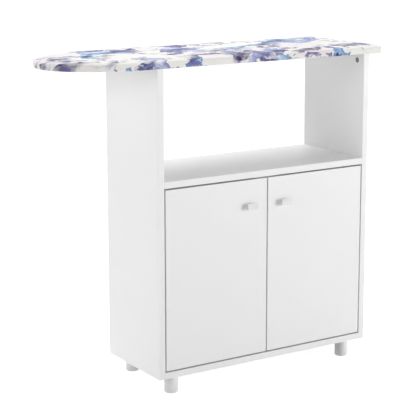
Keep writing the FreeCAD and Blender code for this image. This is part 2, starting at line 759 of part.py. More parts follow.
def wing_screw_seats():
    """Where the plate's screws have their heads, in the hinge's own axes."""
    return [("wing_height", "(wing_start + wing_width / 2)", f"({sign} wing_screw_spacing / 2)")
            for sign in "-+"]


def hinge_plate(height, side):
    """The plate under the arm, with a wing above and below for its screws."""
    name = f"{height}_{side}_hinge_plate"
    spine = box(f"{name}_spine", (PLATE_HEIGHT, "(arm_line_end - plate_start)", "plate_width"),
                ("0", "plate_start", "(- plate_width / 2)"))
    wings = box(f"{name}_wings", ("wing_height", "wing_width", "wing_span"),
                ("0", "wing_start", "(- wing_span / 2)"))
    mouth = (PLATE_HEIGHT, "arm_screw_depth", "0")
    cutters = [drill(f"{name}_arm_hole", "screw_radius", "(arm_screw_length - arm_metal)", mouth, "-x")]
    for i, seat in enumerate(wing_screw_seats()):
        cutters.append(drill(f"{name}_wing_hole_{i}", "screw_radius", "(wing_height + overrun)", seat, "-x"))
    plate = cut(f"{name}_solid", fuse(f"{name}_blank", [spine, wings]), cutters)
    keep(name, put(plate, hinge_frame(side, HINGE_LEVELS[height]), MIRROR_TURN[side]))


def cup_middle(depth):
    """A point on the cup's axis, in the hinge's own axes."""
    return (f"(door_gap + {CUP_FROM_EDGE})", depth, "0")


def hinge_cup(height, side):
    """The cup sunk into the door, with a rim, two ears for its screws and holes for the pin's ends."""
    name = f"{height}_{side}_hinge_cup"
    bowl = rod(f"{name}_bowl", "cup_radius", "(cup_depth + rim_thickness)",
               cup_middle("(door_thickness - cup_depth)"), "+y")
    rim = rod(f"{name}_rim", "(cup_radius + rim_width)", "rim_thickness", cup_middle("door_thickness"), "+y")
    ears = box(f"{name}_ears", ("ear_width", "rim_thickness", "ear_length"),
               (f"(door_gap + {CUP_FROM_EDGE} + ear_offset - ear_width / 2)", "door_thickness",
                "(- ear_length / 2)"))
    hollow = rod(f"{name}_hollow", "(cup_radius - cup_wall)",
                 "(cup_depth + rim_thickness - cup_floor + overrun)",
                 cup_middle("(door_thickness - cup_depth + cup_floor)"), "+y")
    pin_hole = rod(f"{name}_pin_hole", "(pin_radius + fit_clearance / 2)", "(pin_length + fit_clearance)",
                   (PIN_REACH, "pin_depth", "(- (pin_length + fit_clearance) / 2)"), "+z")
    cutters = [hollow, pin_hole]
    for i, sign in enumerate("-+"):
        seat = (f"(door_gap + {CUP_FROM_EDGE} + ear_offset)", "(door_thickness + rim_thickness)",
                f"({sign} cup_screw_spacing / 2)")
        cutters.append(drill(f"{name}_screw_hole_{i}", "screw_radius", "(rim_thickness + overrun)", seat, "-y"))
    cup = cut(f"{name}_solid", fuse(f"{name}_blank", [bowl, rim, ears]), cutters)
    keep(name, put(cup, hinge_frame(side, HINGE_LEVELS[height]), MIRROR_TURN[side]))


def hinge_pin(height, side):
    """The pin across the cup that the arm's eye turns on."""
    name = f"{height}_{side}_hinge_pin"
    pin = rod(name, "pin_radius", "pin_length",
              (inward(side, PIN_REACH), f"({FRONT} + pin_depth)",
               f"({HINGE_LEVELS[height]} - pin_length / 2)"), "+z")
    keep(name, pin)


def hinge_screws():
    """The screws of the plates, of the arms and, door by door, of the cups."""
    plate_screws, arm_screws = [], []
    for side in SIDES:
        cup_screws = []
        for height, level in HINGE_LEVELS.items():
            for i, (reach, depth, offset) in enumerate(wing_screw_seats()):
                seat = (inward(side, reach), f"({FRONT} + {depth})", f"({level} + {offset})")
                plate_screws.append(screw(f"{height}_{side}_wing_screw_{i}", seat, TOWARD_SIDE[side]))
            reach, depth, offset = arm_screw_seat()
            seat = (inward(side, reach), f"({FRONT} + {depth})", level)
            arm_screws.append(screw(f"{height}_{side}_arm_screw", seat, TOWARD_SIDE[side], "arm_screw_length"))
            for i, sign in enumerate("-+"):
                seat = (inward(side, f"(door_gap + {CUP_FROM_EDGE} + ear_offset)"),
                        f"({DOOR_REAR} + rim_thickness)",
                        f"({level} {sign} cup_screw_spacing / 2)")
                cup_screws.append(screw(f"{height}_{side}_cup_screw_{i}", seat, "-y"))
        keep(f"{side}_cup_screws", group(f"{side}_cup_screw_group", cup_screws))
    keep("hinge_plate_screws", group("plate_screw_group", plate_screws))
    keep("hinge_arm_screws", group("arm_screw_group", arm_screws))


# The cabinet
for side in SIDES:
    side_panel(side)
level_panel("bottom", LEVEL_UNDERSIDES["bottom"], "bottom_panel")
level_panel("counter", LEVEL_UNDERSIDES["counter"], "counter_shelf")
back_panel()
back_nails()
inner_shelf()
shelf_pins()
joint_fasteners()
for foot_name, foot_place in foot_places().items():
    foot(foot_name, foot_place)
foot_studs()
board_core()
board_pad()
board_cover()
door_stop()
for side in SIDES:
    door_panel(side)
    knob(side)
    knob_screw(side)
    for height in HINGE_LEVELS:
        hinge_plate(height, side)
        hinge_arm(height, side)
        hinge_cup(height, side)
        hinge_pin(height, side)
hinge_screws()
doc.recompute()

for piece in doc.Objects:
    if {"Invalid", "Error"} & set(piece.State):
        raise RuntimeError(f"{piece.Name} failed: {piece.State}")
os.makedirs("parts", exist_ok=True)
for piece in subparts:
    if piece.Shape.isNull() or not piece.Shape.isValid() or not piece.Shape.Solids:
        raise RuntimeError(f"{piece.Label} has no valid shape")
    piece.Shape.exportStep(f"parts/{piece.Label}.step")
print(len(subparts), "sub-parts")
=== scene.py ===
import json
import math
from collections import namedtuple

import bmesh
import bpy
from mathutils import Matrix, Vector, geometry, kdtree, noise

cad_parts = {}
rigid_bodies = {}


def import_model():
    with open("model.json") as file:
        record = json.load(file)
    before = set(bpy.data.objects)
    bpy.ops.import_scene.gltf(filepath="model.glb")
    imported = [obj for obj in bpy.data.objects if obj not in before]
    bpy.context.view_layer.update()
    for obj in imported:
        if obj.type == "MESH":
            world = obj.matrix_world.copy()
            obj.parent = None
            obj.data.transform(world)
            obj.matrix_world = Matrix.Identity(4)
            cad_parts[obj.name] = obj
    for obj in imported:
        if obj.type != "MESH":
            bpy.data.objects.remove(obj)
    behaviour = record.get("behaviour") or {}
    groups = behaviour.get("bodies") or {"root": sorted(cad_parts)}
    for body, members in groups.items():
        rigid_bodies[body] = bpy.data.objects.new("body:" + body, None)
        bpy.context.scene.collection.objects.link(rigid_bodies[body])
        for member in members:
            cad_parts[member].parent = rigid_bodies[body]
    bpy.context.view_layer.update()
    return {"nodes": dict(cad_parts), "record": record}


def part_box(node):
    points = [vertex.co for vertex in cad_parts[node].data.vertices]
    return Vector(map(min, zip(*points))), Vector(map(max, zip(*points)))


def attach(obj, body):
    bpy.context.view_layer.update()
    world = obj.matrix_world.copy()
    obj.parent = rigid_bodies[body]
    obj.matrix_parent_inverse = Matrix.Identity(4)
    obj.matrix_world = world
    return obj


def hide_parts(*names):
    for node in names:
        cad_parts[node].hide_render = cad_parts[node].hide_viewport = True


# An ironing board cabinet: white boards with softened edges, two inset doors, a padded board with a
# watercolour cover, grey feet and hinge fittings. Metres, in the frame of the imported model.

for leftover in list(bpy.data.objects):
    bpy.data.objects.remove(leftover)
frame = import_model()

MILLI = 0.001
FULL_TURN = 2 * math.pi
QUARTER_TURN = math.pi / 2

# Camera: a long lens at the photograph's viewing angle. Angles are in degrees, lens and sensor in
# millimetres.
CAMERA_PLACE = (-2.0231, -3.1806, 1.2989)
CAMERA_TURN = 32.666
CAMERA_PITCH = 10.872
CAMERA_LENS = 118.58
CAMERA_SHIFT = -0.1
SENSOR_WIDTH = 36.0
FARTHEST_SEEN = 100.0

# Softened edges and edge bands, with angles in degrees
PANEL_ARRIS = 0.0007
BACK_ARRIS = 0.0003
METAL_ARRIS = 0.0003
BAND_DEPTH = 0.0011
FLAT_JOINT = 0.5
SHARP_EDGE = 35

# How near points count as one: in a finished shape, in the CAD model and in a flat filling
NEAR = 1e-5
CAD_NEAR = 1e-6
FLAT_NEAR = 1e-7

# The ironing board's outline and edge
NOSE_LENGTH = 0.225
NOSE_STEPS = 120
BOARD_CORNER = 0.018
BOARD_CORNER_STEPS = 12
SOFT_IN = 0.016
SOFT_DOWN = 0.007
UNDER_ROUND = 0.003
ROUND_STEPS = 3
SIDE_STEPS = 4
TOP_STEPS = 5
PAD_SLACK = 0.4 * MILLI

# The cover's cloth, its hem with the notches, and its staples
CLOTH = 0.0007
CLOTH_STEP = 0.0046
ROW_RISE = 0.866
RIM_CLEARANCE = 0.6
SKIN_SLACK = 0.0016
SKIN_LIFT = 0.0022
SWELL_FRAMES = 16
SWELL_PRESSURE = 4.0
CLOTH_QUALITY = 5
CREASES_ALONG, CREASES_ACROSS = 5.0, 11.0
FINE_CREASES, FINE_PLACE = 2.7, (3.1, 0, 0)
CREASE_HEIGHT = 0.0006
GATHERS = 95
GATHER_HEIGHT = 0.00045
GATHER_WANDER, WANDER_SIZE = 5, 13
GATHER_LEAST, UNEVEN_SIZE = 0.55, 19
NOSE_SQUEEZE = 0.33
SIDE_FADE = 1.25
FACING_DOWN, HEM_GATHERS = -0.6, 0.6
HEM_WIDTH = 0.034
NOTCH_GAP = 0.003
NOTCH_FRONT = UNDER_ROUND * 1.2
NOTCH_NEAR = 0.5 * MILLI
NOTCH_STEPS = 6
HAIR = 0.1 * MILLI
STAPLE_INSET = 0.012
STAPLE_SPACING = 0.055
STAPLE_CROWN = 10 * MILLI
STAPLE_WIRE = 0.8 * MILLI


# Node trees, written as sums and products
class Flow:
    """A value that flows through a node tree. Arithmetic on it adds Math nodes."""

    def __init__(self, maker, socket):
        self.maker = maker
        self.socket = socket

    def math(self, operation, *others):
        values = dict(enumerate((self, *others)))
        return self.maker.node("ShaderNodeMath", {"operation": operation}, values)

    def __add__(self, other):
        return self.math("ADD", other)

    def __sub__(self, other):
        return self.math("SUBTRACT", other)

    def __mul__(self, other):
        return self.math("MULTIPLY", other)

    def __rsub__(self, other):
        return self * -1 + other

    def __neg__(self):
        return self * -1

    __radd__ = __add__
    __rmul__ = __mul__

    def sine(self):
        return self.math("SINE")

    def larger(self, other):
        return self.math("MAXIMUM", other)

    def beside(self, *labels):
        """Other results of the node that this one comes from."""
        return [Flow(self.maker, found(self.socket.node.outputs, label)) for label in labels]


def found(sockets, label):
    """A socket by its number, its identifier or its name."""
    if isinstance(label, int):
        return sockets[label]
    return next(socket for socket in sockets if label in (socket.identifier, socket.name))


class Nodes:
    """A node tree under construction."""

    def __init__(self, tree):
        self.tree = tree

    def node(self, kind, settings=None, inputs=None, result=0):
        """Adds a node with its settings and inputs, and returns one of its results, if it has any."""
        made = self.tree.nodes.new(kind)
        for label, value in (settings or {}).items():
            if label == "stops":
                set_stops(made.color_ramp, value)
            else:
                setattr(made, label, value)
        for label, value in (inputs or {}).items():
            self.feed(found(made.inputs, label), value)
        return Flow(self, found(made.outputs, result)) if made.outputs else None

    def feed(self, socket, value):
        """Gives a socket its value, or links the results that flow into it."""
        for flow in value if isinstance(value, list) else [value]:
            if isinstance(flow, Flow):
                self.tree.links.new(flow.socket, socket)
            else:
                socket.default_value = flow


def opaque(colour):
    """A colour with its alpha, or a flow of colour as it is."""
    return colour if isinstance(colour, Flow) else (*colour, 1)


def shade(colour, share):
    """A colour made darker or lighter by a share, and no brighter than white."""
    return [min(1, channel * share) for channel in colour]


def set_stops(ramp, stops):
    """Gives a ramp its soft stops, each a position with its colour or grey."""
    ramp.interpolation = "EASE"
    while len(ramp.elements) < len(stops):
        ramp.elements.new(1.0)
    for element, (position, colour) in zip(ramp.elements, stops):
        element.position = position
        element.color = opaque((colour,) * 3 if isinstance(colour, (int, float)) else colour)


class Maker(Nodes):
    """A material under construction around one Principled shader."""

    def __init__(self, name, roughness=0.5, metallic=0.0, **constants):
        self.material = bpy.data.materials.new(name)
        self.material.use_nodes = True
        super().__init__(self.material.node_tree)
        self.shader = self.tree.nodes["Principled BSDF"]
        self.drive(Roughness=roughness, Metallic=metallic, **constants)

    def place(self):
        """The object's own coordinates, in metres."""
        return self.node("ShaderNodeTexCoord", result="Object")

    def axes(self, place):
        """The three numbers of a place."""
        return self.node("ShaderNodeSeparateXYZ", inputs={0: place}).beside("X", "Y", "Z")

    def stretched(self, place, scale, turn=0.0, move=(0, 0, 0)):
        values = {"Vector": place, "Scale": scale, "Rotation": (0, 0, turn), "Location": move}
        return self.node("ShaderNodeMapping", inputs=values)

    def noise(self, place, scale, detail=2.0, roughness=0.5, result=0):
        values = {"Vector": place, "Scale": scale, "Detail": detail, "Roughness": roughness}
        return self.node("ShaderNodeTexNoise", inputs=values, result=result)

    def vectors(self, operation, values):
        return self.node("ShaderNodeVectorMath", {"operation": operation}, values)

    def moved(self, place, colour, reach):
        """A place pushed about by a colour of noise."""
        centred = self.vectors("SUBTRACT", {0: colour, 1: (0.5, 0.5, 0.5)})
        return self.vectors("ADD", {0: place, 1: self.vectors("SCALE", {0: centred, "Scale": reach})})

    def ramp(self, value, stops):
        """A colour or grey that changes softly with a value, by (position, colour) stops."""
        return self.node("ShaderNodeValToRGB", {"stops": stops}, {0: value})

    def drift(self, value, low, high):
        """A colour or grey that goes from low to high over the usual range of a noise."""
        return self.ramp(value, [(0.3, low), (0.7, high)])

    def mix(self, share, low, high, blend="MIX"):
        """A colour between two, or their blend, by a share."""
        values = {"Factor_Float": share, "A_Color": opaque(low), "B_Color": opaque(high)}
        return self.node("ShaderNodeMix", {"data_type": "RGBA", "blend_type": blend}, values, "Result_Color")

    def bump(self, height, distance, strength=1.0, under=None):
        values = {"Height": height, "Distance": distance, "Strength": strength}
        if under is not None:
            values["Normal"] = under
        return self.node("ShaderNodeBump", inputs=values)

    def drive(self, **values):
        """Gives the shader's sockets their values or links, and returns the material."""
        for label, value in values.items():
            self.feed(self.shader.inputs[label.replace("_", " ")], value)
        return self.material


# Materials
def melamine(name, colour):
    """White melamine-faced board: a faint pearl texture, a little unevenness and smudged gloss."""
    make = Maker(name, Specular_IOR_Level=0.42)
    place = make.place()
    tone = make.drift(make.noise(place, 3.0, 3.0), shade(colour, 0.985), colour)
    speck = make.ramp(make.noise(place, 620.0, 2.0, 0.6), [(0.35, 0.72), (0.65, 1.0)])
    return make.drive(
        Base_Color=make.mix(0.035, tone, speck, "MULTIPLY"),
        Roughness=make.drift(make.noise(place, 14.0, 4.0, 0.6), 0.34, 0.46),
        Normal=make.bump(make.noise(place, 900.0, 2.0, 0.5), 0.00004, 0.35),
    )


def edge_band(name, colour):
    """The plastic band on a board's edge: smoother, a shade greyer, with faint scraper marks along it."""
    make = Maker(name, Specular_IOR_Level=0.45)
    marks = make.noise(make.stretched(make.place(), (30.0, 900.0, 9.0)), 1.0, 2.0)
    return make.drive(
        Base_Color=make.drift(marks, shade(colour, 0.97), colour),
        Roughness=make.drift(marks, 0.28, 0.4),
        Normal=make.bump(marks, 0.00003, 0.3),
    )


def hardboard(name):
    """White-faced hardboard: slightly warm, with a faint fibre."""
    make = Maker(name, Specular_IOR_Level=0.3)
    fibre = make.noise(make.stretched(make.place(), (1.0, 1.0, 0.35)), 380.0, 4.0, 0.6)
    return make.drive(
        Base_Color=make.drift(fibre, (0.755, 0.748, 0.73), (0.815, 0.81, 0.795)),
        Roughness=make.drift(fibre, 0.5, 0.66),
        Normal=make.bump(fibre, 0.00006, 0.5),
    )


def beech(name):
    """Fluted beech: straight grain."""
    make = Maker(name, 0.6)
    grain = make.noise(make.stretched(make.place(), (60.0, 900.0, 900.0)), 1.0, 3.0)
    tone = make.drift(grain, (0.55, 0.38, 0.22), (0.74, 0.57, 0.38))
    return make.drive(Base_Color=tone, Normal=make.bump(grain, 0.0001, 0.4))


def plated_steel(name, colour, rough):
    """Stamped, plated steel: fine drawing lines and handled, uneven gloss."""
    make = Maker(name, rough, 1.0, Anisotropic=0.35)
    place = make.place()
    lines = make.noise(make.stretched(place, (2600.0, 240.0, 240.0)), 1.0, 2.0)
    smudge = make.noise(place, 90.0, 4.0, 0.6)
    drawn = make.drift(lines, shade(colour, 0.9), colour)
    handled = make.drift(smudge, shade(colour, 0.92), colour)
    return make.drive(
        Base_Color=make.mix(0.5, drawn, handled),
        Roughness=make.drift(smudge, rough - 0.06, rough + 0.08),
        Normal=make.bump(lines, 0.00002, 0.4),
    )


def die_cast(name):
    """Dull die-cast zinc: dark, with a fine cast grain."""
    make = Maker(name, 0.55, 0.85)
    grain = make.noise(make.place(), 1500.0, 3.0, 0.6)
    tone = make.drift(grain, (0.13, 0.13, 0.135), (0.24, 0.24, 0.245))
    return make.drive(Base_Color=tone, Normal=make.bump(grain, 0.00008, 0.5))


def moulded(name, colour, rough=0.42, grain=0.5):
    """Moulded plastic: a fine matt grain and a slight drift of tone."""
    make = Maker(name, rough, Specular_IOR_Level=0.45)
    place = make.place()
    cloud = make.noise(place, 22.0, 3.0)
    return make.drive(
        Base_Color=make.drift(cloud, shade(colour, 0.95), shade(colour, 1.03)),
        Roughness=make.drift(cloud, rough - 0.05, rough + 0.06),
        Normal=make.bump(make.noise(place, 1400.0, 2.0, 0.6), 0.00005, grain),
    )


def foam(name):
    """Cream needled felt."""
    make = Maker(name, 0.95, Sheen_Weight=0.3)
    fluff = make.noise(make.place(), 700.0, 4.0, 0.7)
    tone = make.drift(fluff, (0.66, 0.63, 0.54), (0.82, 0.80, 0.72))
    return make.drive(Base_Color=tone, Normal=make.bump(fluff, 0.0003, 0.7))


# The cover's print: clusters of wet paint with their colours from dry to wet, and dark brush strokes.
# The size is the pattern's; stretch, turn and place lay it out on the flat cloth.
CREAM = (0.85, 0.84, 0.81)
BLUSH = (0.80, 0.74, 0.77)
LAVENDER = ((0.78, 0.79, 0.87), (0.55, 0.58, 0.76), (0.30, 0.32, 0.58), (0.09, 0.09, 0.29))
SKY = ((0.68, 0.78, 0.86), (0.31, 0.51, 0.74), (0.15, 0.30, 0.57), (0.04, 0.05, 0.22))
NAVY = ((0.60, 0.63, 0.78), (0.25, 0.28, 0.53), (0.06, 0.06, 0.24), (0.02, 0.02, 0.10))
Paint = namedtuple("Paint", "size stretch turn place threshold colours")
PAINTS = (
    Paint(6.2, 0.85, 0.26, (30.27, 10.79, 0), 0.582, LAVENDER),
    Paint(6.8, 0.90, -0.20, (35.07, 15.69, 0), 0.572, SKY),
    Paint(11.0, 0.70, 0.12, (28.57, 18.39, 0), 0.602, NAVY),
)
PAINT_FULL = 0.012
PAINT_RIM = 0.034
PAINT_COVER = 0.94
GROUP_PULL, GROUP_LEVEL = 0.06, 0.038
DRY_LEVEL, WETTER = 0.36, 0.115
Stroke = namedtuple("Stroke", "colour size stretch turn place threshold strength")
STROKES = (
    Stroke((0.025, 0.024, 0.11), 15.0, 0.50, 0.10, (32.07, 12.49, 0), 0.575, 1.0),
    Stroke((0.30, 0.33, 0.44), 22.0, 0.45, -0.20, (27.67, 16.89, 0), 0.580, 0.75),
    Stroke((0.12, 0.11, 0.30), 30.0, 0.50, 0.22, (34.37, 10.19, 0), 0.59, 0.9),
)
STROKE_FULL = 0.014
THREAD_PAIR = 0.0011


def cluster(make, paint, bent, frayed, paper, group):
    """A cluster of wet paint: where it lies, how much it covers, and its colour, darker at the rim."""
    size, level = paint.size, paint.threshold
    laid = make.stretched(frayed, (paint.stretch, 1.0, 1.0), paint.turn, paint.place)
    field = make.noise(laid, size, 4.0, 0.52) + paper * 0.02
    field = field + group * GROUP_PULL - GROUP_LEVEL
    body = make.ramp(field, [(level - 0.004, 0.0), (level + PAINT_FULL, 1.0)])
    rim = make.ramp(field, [(level, 0.0), (level + PAINT_FULL, 1.0), (level + PAINT_RIM, 0.0)])
    pooled = make.stretched(bent, (0.70, 1.0, 1.0), paint.turn, paint.place)
    wet = make.noise(pooled, size * 2.4, 3.5, 0.55)
    stops = [(DRY_LEVEL + WETTER * i, colour) for i, colour in enumerate(paint.colours)]
    colour = make.ramp(wet + rim * 0.10 + paper * 0.05, stops)
    crossed = make.stretched(frayed, (0.50, 1.0, 1.0), -paint.turn, paint.place)
    gaps = make.ramp(make.noise(crossed, size * 4.0, 3.0), [(0.38, 0.12), (0.44, 1.0)])
    return body, body * gaps * PAINT_COVER, colour


def brushed(make, stroke, frayed, painted, near):
    """How much a brush stroke covers: uneven, near the paint and likelier on it."""
    laid = make.stretched(frayed, (stroke.stretch, 1.0, 1.0), stroke.turn, stroke.place)
    field = make.noise(laid, stroke.size, 3.0, 0.55) + painted * 0.02
    mark = make.ramp(field, [(stroke.threshold, 0.0), (stroke.threshold + STROKE_FULL, 1.0)])
    pool = make.ramp(make.noise(frayed, stroke.size * 2.5, 3.0), [(0.32, 0.5), (0.6, 1.0)])
    return mark * near * pool * stroke.strength


def washed_cotton(name):
    """Cream cotton with a plain watercolour print: clusters of wet paint, dark strokes, and a fine weave."""
    make = Maker(name, 0.82, Sheen_Weight=0.12, Specular_IOR_Level=0.25)
    place = make.node("ShaderNodeAttribute", {"attribute_name": "cloth"}, result="Vector")
    bent = make.moved(place, make.noise(place, 7.0, 2.0, result="Color"), 0.09)
    bent = make.moved(bent, make.noise(place, 30.0, 3.0, result="Color"), 0.022)
    frayed = make.moved(bent, make.noise(place, 110.0, 3.0, result="Color"), 0.006)
    paper = make.noise(place, 210.0, 4.0, 0.6)
    tone = make.mix(make.ramp(make.noise(bent, 5.0, 2.0), [(0.47, 0.0), (0.64, 0.75)]), CREAM, BLUSH)
    wide = make.stretched(bent, (0.8, 1.0, 1.0), 0.3, (29.27, 15.99, 0))
    group = make.ramp(make.noise(wide, 4.2, 1.5), [(0.40, 0.0), (0.58, 1.0)])
    painted = 0.0
    for paint in PAINTS:
        body, share, colour = cluster(make, paint, bent, frayed, paper, group)
        tone = make.mix(share, tone, colour)
        painted = body + painted
    near = make.ramp(make.noise(bent, 6.5, 2.0), [(0.42, 0.0), (0.52, 1.0)])
    for stroke in STROKES:
        tone = make.mix(brushed(make, stroke, frayed, painted, near), tone, stroke.colour)
    x, y, _ = make.axes(place)
    pitch = FULL_TURN / THREAD_PAIR
    weave = make.bump((x * pitch).sine() * (y * pitch).sine(), 0.00008, 0.35)
    return make.drive(Base_Color=tone, Normal=make.bump(make.noise(place, 55.0, 3.0), 0.0006, 0.25, weave))


MATERIALS = {
    "white_board": melamine("white_melamine", (0.86, 0.86, 0.862)),
    "band": edge_band("white_edge_band", (0.84, 0.84, 0.84)),
    # The doors' edge faces get a dark grey: painted shade for the gaps round the doors, not the band's own
    # colour.
    "door_edge_painted_shade": edge_band("door_edge_band", (0.42, 0.42, 0.425)),
    "hardboard": hardboard("white_hardboard"),
    "beech": beech("fluted_beech"),
    "nickel": plated_steel("nickel_plate", (0.66, 0.65, 0.62), 0.3),
    "steel": plated_steel("bright_nail_steel", (0.5, 0.5, 0.5), 0.35),
    "zinc": die_cast("dull_zinc"),
    "grey_plastic": moulded("grey_foot_plastic", (0.84, 0.84, 0.845)),
    "knob_white": moulded("white_knob", (0.755, 0.755, 0.755), 0.42, 0.25),
    "bumper_rubber": moulded("soft_bumper", (0.70, 0.70, 0.69), 0.5, 0.3),
    "foam": foam("cream_felt"),
    "printed_cotton": washed_cotton("watercolour_cotton"),
}


# Mesh helpers
def shown(name, content):
    """An object of a mesh, a lamp or a camera, in the scene."""
    made = bpy.data.objects.new(name, content)
    bpy.context.scene.collection.objects.link(made)
    return made


def evaluated(made):
    """The plain mesh of an object with its modifiers applied."""
    return bpy.data.meshes.new_from_object(made.evaluated_get(bpy.context.evaluated_depsgraph_get()))


def piece(name, mesh, body, slot, replaced=(), materials=None, smooth=35):
    """An object from a finished mesh, on its body, with its materials: those listed, or else the one the slot
    names.
    """
    made = shown(name, mesh)
    mesh.materials.clear()
    for label in materials or (slot,):
        mesh.materials.append(MATERIALS[label])
    mesh.shade_smooth()
    mesh.set_sharp_from_angle(angle=math.radians(smooth))
    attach(made, body)
    if replaced:
        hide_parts(*replaced)
    return made


def body_of(node):
    bodies = frame["record"]["behaviour"]["bodies"]
    return next(body for body, nodes in bodies.items() if node in nodes)


def slot_of(node):
    return next(s["material_slot"] for s in frame["record"]["subparts"] if s["node"] == node)


def cleaned(node):
    """The CAD node's mesh as few flat faces, ready for edge work."""
    mesh = bmesh.new()
    mesh.from_mesh(frame["nodes"][node].data)
    bmesh.ops.remove_doubles(mesh, verts=mesh.verts, dist=CAD_NEAR)
    limit = math.radians(FLAT_JOINT)
    bmesh.ops.dissolve_limit(mesh, angle_limit=limit, verts=mesh.verts, edges=mesh.edges)
    return mesh


def to_mesh(built, name):
    """The plain mesh of a finished shape, its faces outward."""
    mesh = bpy.data.meshes.new(name)
    bmesh.ops.recalc_face_normals(built, faces=built.faces)
    built.to_mesh(mesh)
    built.free()
    return mesh


def on_box_edge(edge, low, high):
    """Whether an edge lies along one of the twelve edges of a box."""
    flush = 0
    for axis in range(3):
        for level in (low[axis], high[axis]):
            if all(abs(v.co[axis] - level) < NEAR for v in edge.verts):
                flush += 1
    return flush >= 2


def soft_panel(node, banded, arris=PANEL_ARRIS, band="band"):
    """A board with its outer edges softened, and an edge band on the sides listed as (axis, is_high)."""
    low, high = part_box(node)
    built = cleaned(node)
    edges = [e for e in built.edges if on_box_edge(e, low, high)]
    bmesh.ops.bevel(built, geom=edges, offset=arris, segments=2, profile=0.5, affect="EDGES")
    for axis, is_high in banded:
        level = (high[axis] - BAND_DEPTH) if is_high else (low[axis] + BAND_DEPTH)
        spot, normal = Vector((0, 0, 0)), Vector((0, 0, 0))
        spot[axis], normal[axis] = level, 1
        everything = built.verts[:] + built.edges[:] + built.faces[:]
        bmesh.ops.bisect_plane(built, geom=everything, plane_co=spot, plane_no=normal)
        for face in built.faces:
            if (face.calc_center_median()[axis] > level) == is_high:
                face.material_index = 1
    slot = slot_of(node)
    made = piece(f"{node}_dressed", to_mesh(built, node), body_of(node), slot, [node], [slot, band])
    made.data.shade_flat()
    return made


def soft_fitting(node):
    """A metal fitting with every sharp edge softened."""
    built = cleaned(node)
    sharp = math.radians(SHARP_EDGE)
    edges = [e for e in built.edges if e.is_manifold and e.calc_face_angle(0) > sharp]
    bmesh.ops.bevel(built, geom=edges, offset=METAL_ARRIS, segments=1, profile=0.5, affect="EDGES",
                    clamp_overlap=True)
    return piece(f"{node}_dressed", to_mesh(built, node), body_of(node), slot_of(node), [node], smooth=30)


def keep_node(node):
    """A CAD node whose shape stays: only its material changes."""
    finish = MATERIALS[slot_of(node)]
    kept = frame["nodes"][node]
    if not kept.material_slots:
        kept.data.materials.append(finish)
    for slot in kept.material_slots:
        slot.material = finish


def strip(built, row, after):
    """Quads between two closed rows of as many points."""
    count = len(row)
    for i in range(count):
        k = (i + 1) % count
        built.faces.new((row[i], row[k], after[k], after[i]))


def loft(rings, built=None):
    """A closed mesh over rings of as many points each, on its own or beside what is there."""
    built = built or bmesh.new()
    rows = [[built.verts.new(point) for point in ring] for ring in rings]
    for row, after in zip(rows, rows[1:]):
        strip(built, row, after)
    built.faces.new(rows[0])
    built.faces.new(rows[-1])
    return built


# Knobs and feet
# The knob's plate, in millimetres: behind the front face, set in from the outline, corner radius
KNOB_PROFILE = (
    (0.50, 6.0, 1.0), (0.20, 3.2, 1.2), (0.05, 1.5, 1.5), (0.08, 0.7, 1.8), (0.30, 0.2, 2.1),
    (0.65, 0.0, 2.2), (1.25, 0.0, 2.2), (1.6, 0.2, 2.1), (1.9, 0.7, 1.8), (2.9, 2.4, 1.4), (4.0, 3.6, 1.0),
)
# The knob's neck, in millimetres: behind the front face, radius
NECK_PROFILE = (
    (3.6, 5.4), (4.3, 5.4), (5.0, 5.2), (7.0, 5.1), (10.5, 5.2), (12.4, 5.7), (13.3, 6.5), (14.0, 6.5),
)
# The foot, in millimetres: height from the floor, radius
FOOT_PROFILE = (
    (0.0, 14.6), (0.0, 15.6), (0.35, 17.0), (1.3, 18.1), (2.6, 18.75), (4.2, 19.0), (5.6, 19.0), (5.9, 18.75),
    (6.3, 18.75), (6.6, 19.0), (25.0, 19.0), (43.6, 19.0), (43.9, 18.8), (44.3, 18.8), (44.6, 19.0),
    (49.5, 19.0), (50.0, 18.7),
)
CORNER_STEPS = 6
NECK_STEPS = 40
FOOT_STEPS = 72


def rounded_oblong(half_x, half_z, corner, x0, z0):
    """Points of an oblong with round corners."""
    points = []
    for quarter, (sx, sz) in enumerate(((1, 1), (-1, 1), (-1, -1), (1, -1))):
        for i in range(CORNER_STEPS + 1):
            angle = (quarter + i / CORNER_STEPS) * QUARTER_TURN
            x = x0 + sx * (half_x - corner) + corner * math.cos(angle)
            points.append((x, z0 + sz * (half_z - corner) + corner * math.sin(angle)))
    return points


def circle(radius, a0, b0, count):
    """Points of a circle."""
    turns = [FULL_TURN * i / count for i in range(count)]
    return [(a0 + radius * math.cos(angle), b0 + radius * math.sin(angle)) for angle in turns]


def knob(side):
    """An oblong knob: a plate with a slightly dished face on a waisted round neck."""
    node = f"{side}_knob"
    low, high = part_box(node)
    half_x, half_z = (high[0] - low[0]) / 2, (high[2] - low[2]) / 2
    x0, z0 = low[0] + half_x, low[2] + half_z
    plate, neck = [], []
    for back, inset, corner in KNOB_PROFILE:
        outline = rounded_oblong(half_x - inset * MILLI, half_z - inset * MILLI, corner * MILLI, x0, z0)
        plate.append([(x, low[1] + back * MILLI, z) for x, z in outline])
    for back, radius in NECK_PROFILE:
        outline = circle(radius * MILLI, x0, z0, NECK_STEPS)
        neck.append([(x, low[1] + back * MILLI, z) for x, z in outline])
    built = loft(neck, loft(plate))
    return piece(f"{node}_dressed", to_mesh(built, node), body_of(node), "knob_white", [node], smooth=60)


def foot(node):
    """A round foot: softened below, with a fine groove near each end."""
    low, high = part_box(node)
    x0, y0 = (low[0] + high[0]) / 2, (low[1] + high[1]) / 2
    rings = []
    for height, radius in FOOT_PROFILE:
        rings.append([(x, y, height * MILLI) for x, y in circle(radius * MILLI, x0, y0, FOOT_STEPS)])
    mesh = to_mesh(loft(rings), node)
    return piece(f"{node}_dressed", mesh, body_of(node), "grey_plastic", [node], smooth=50)


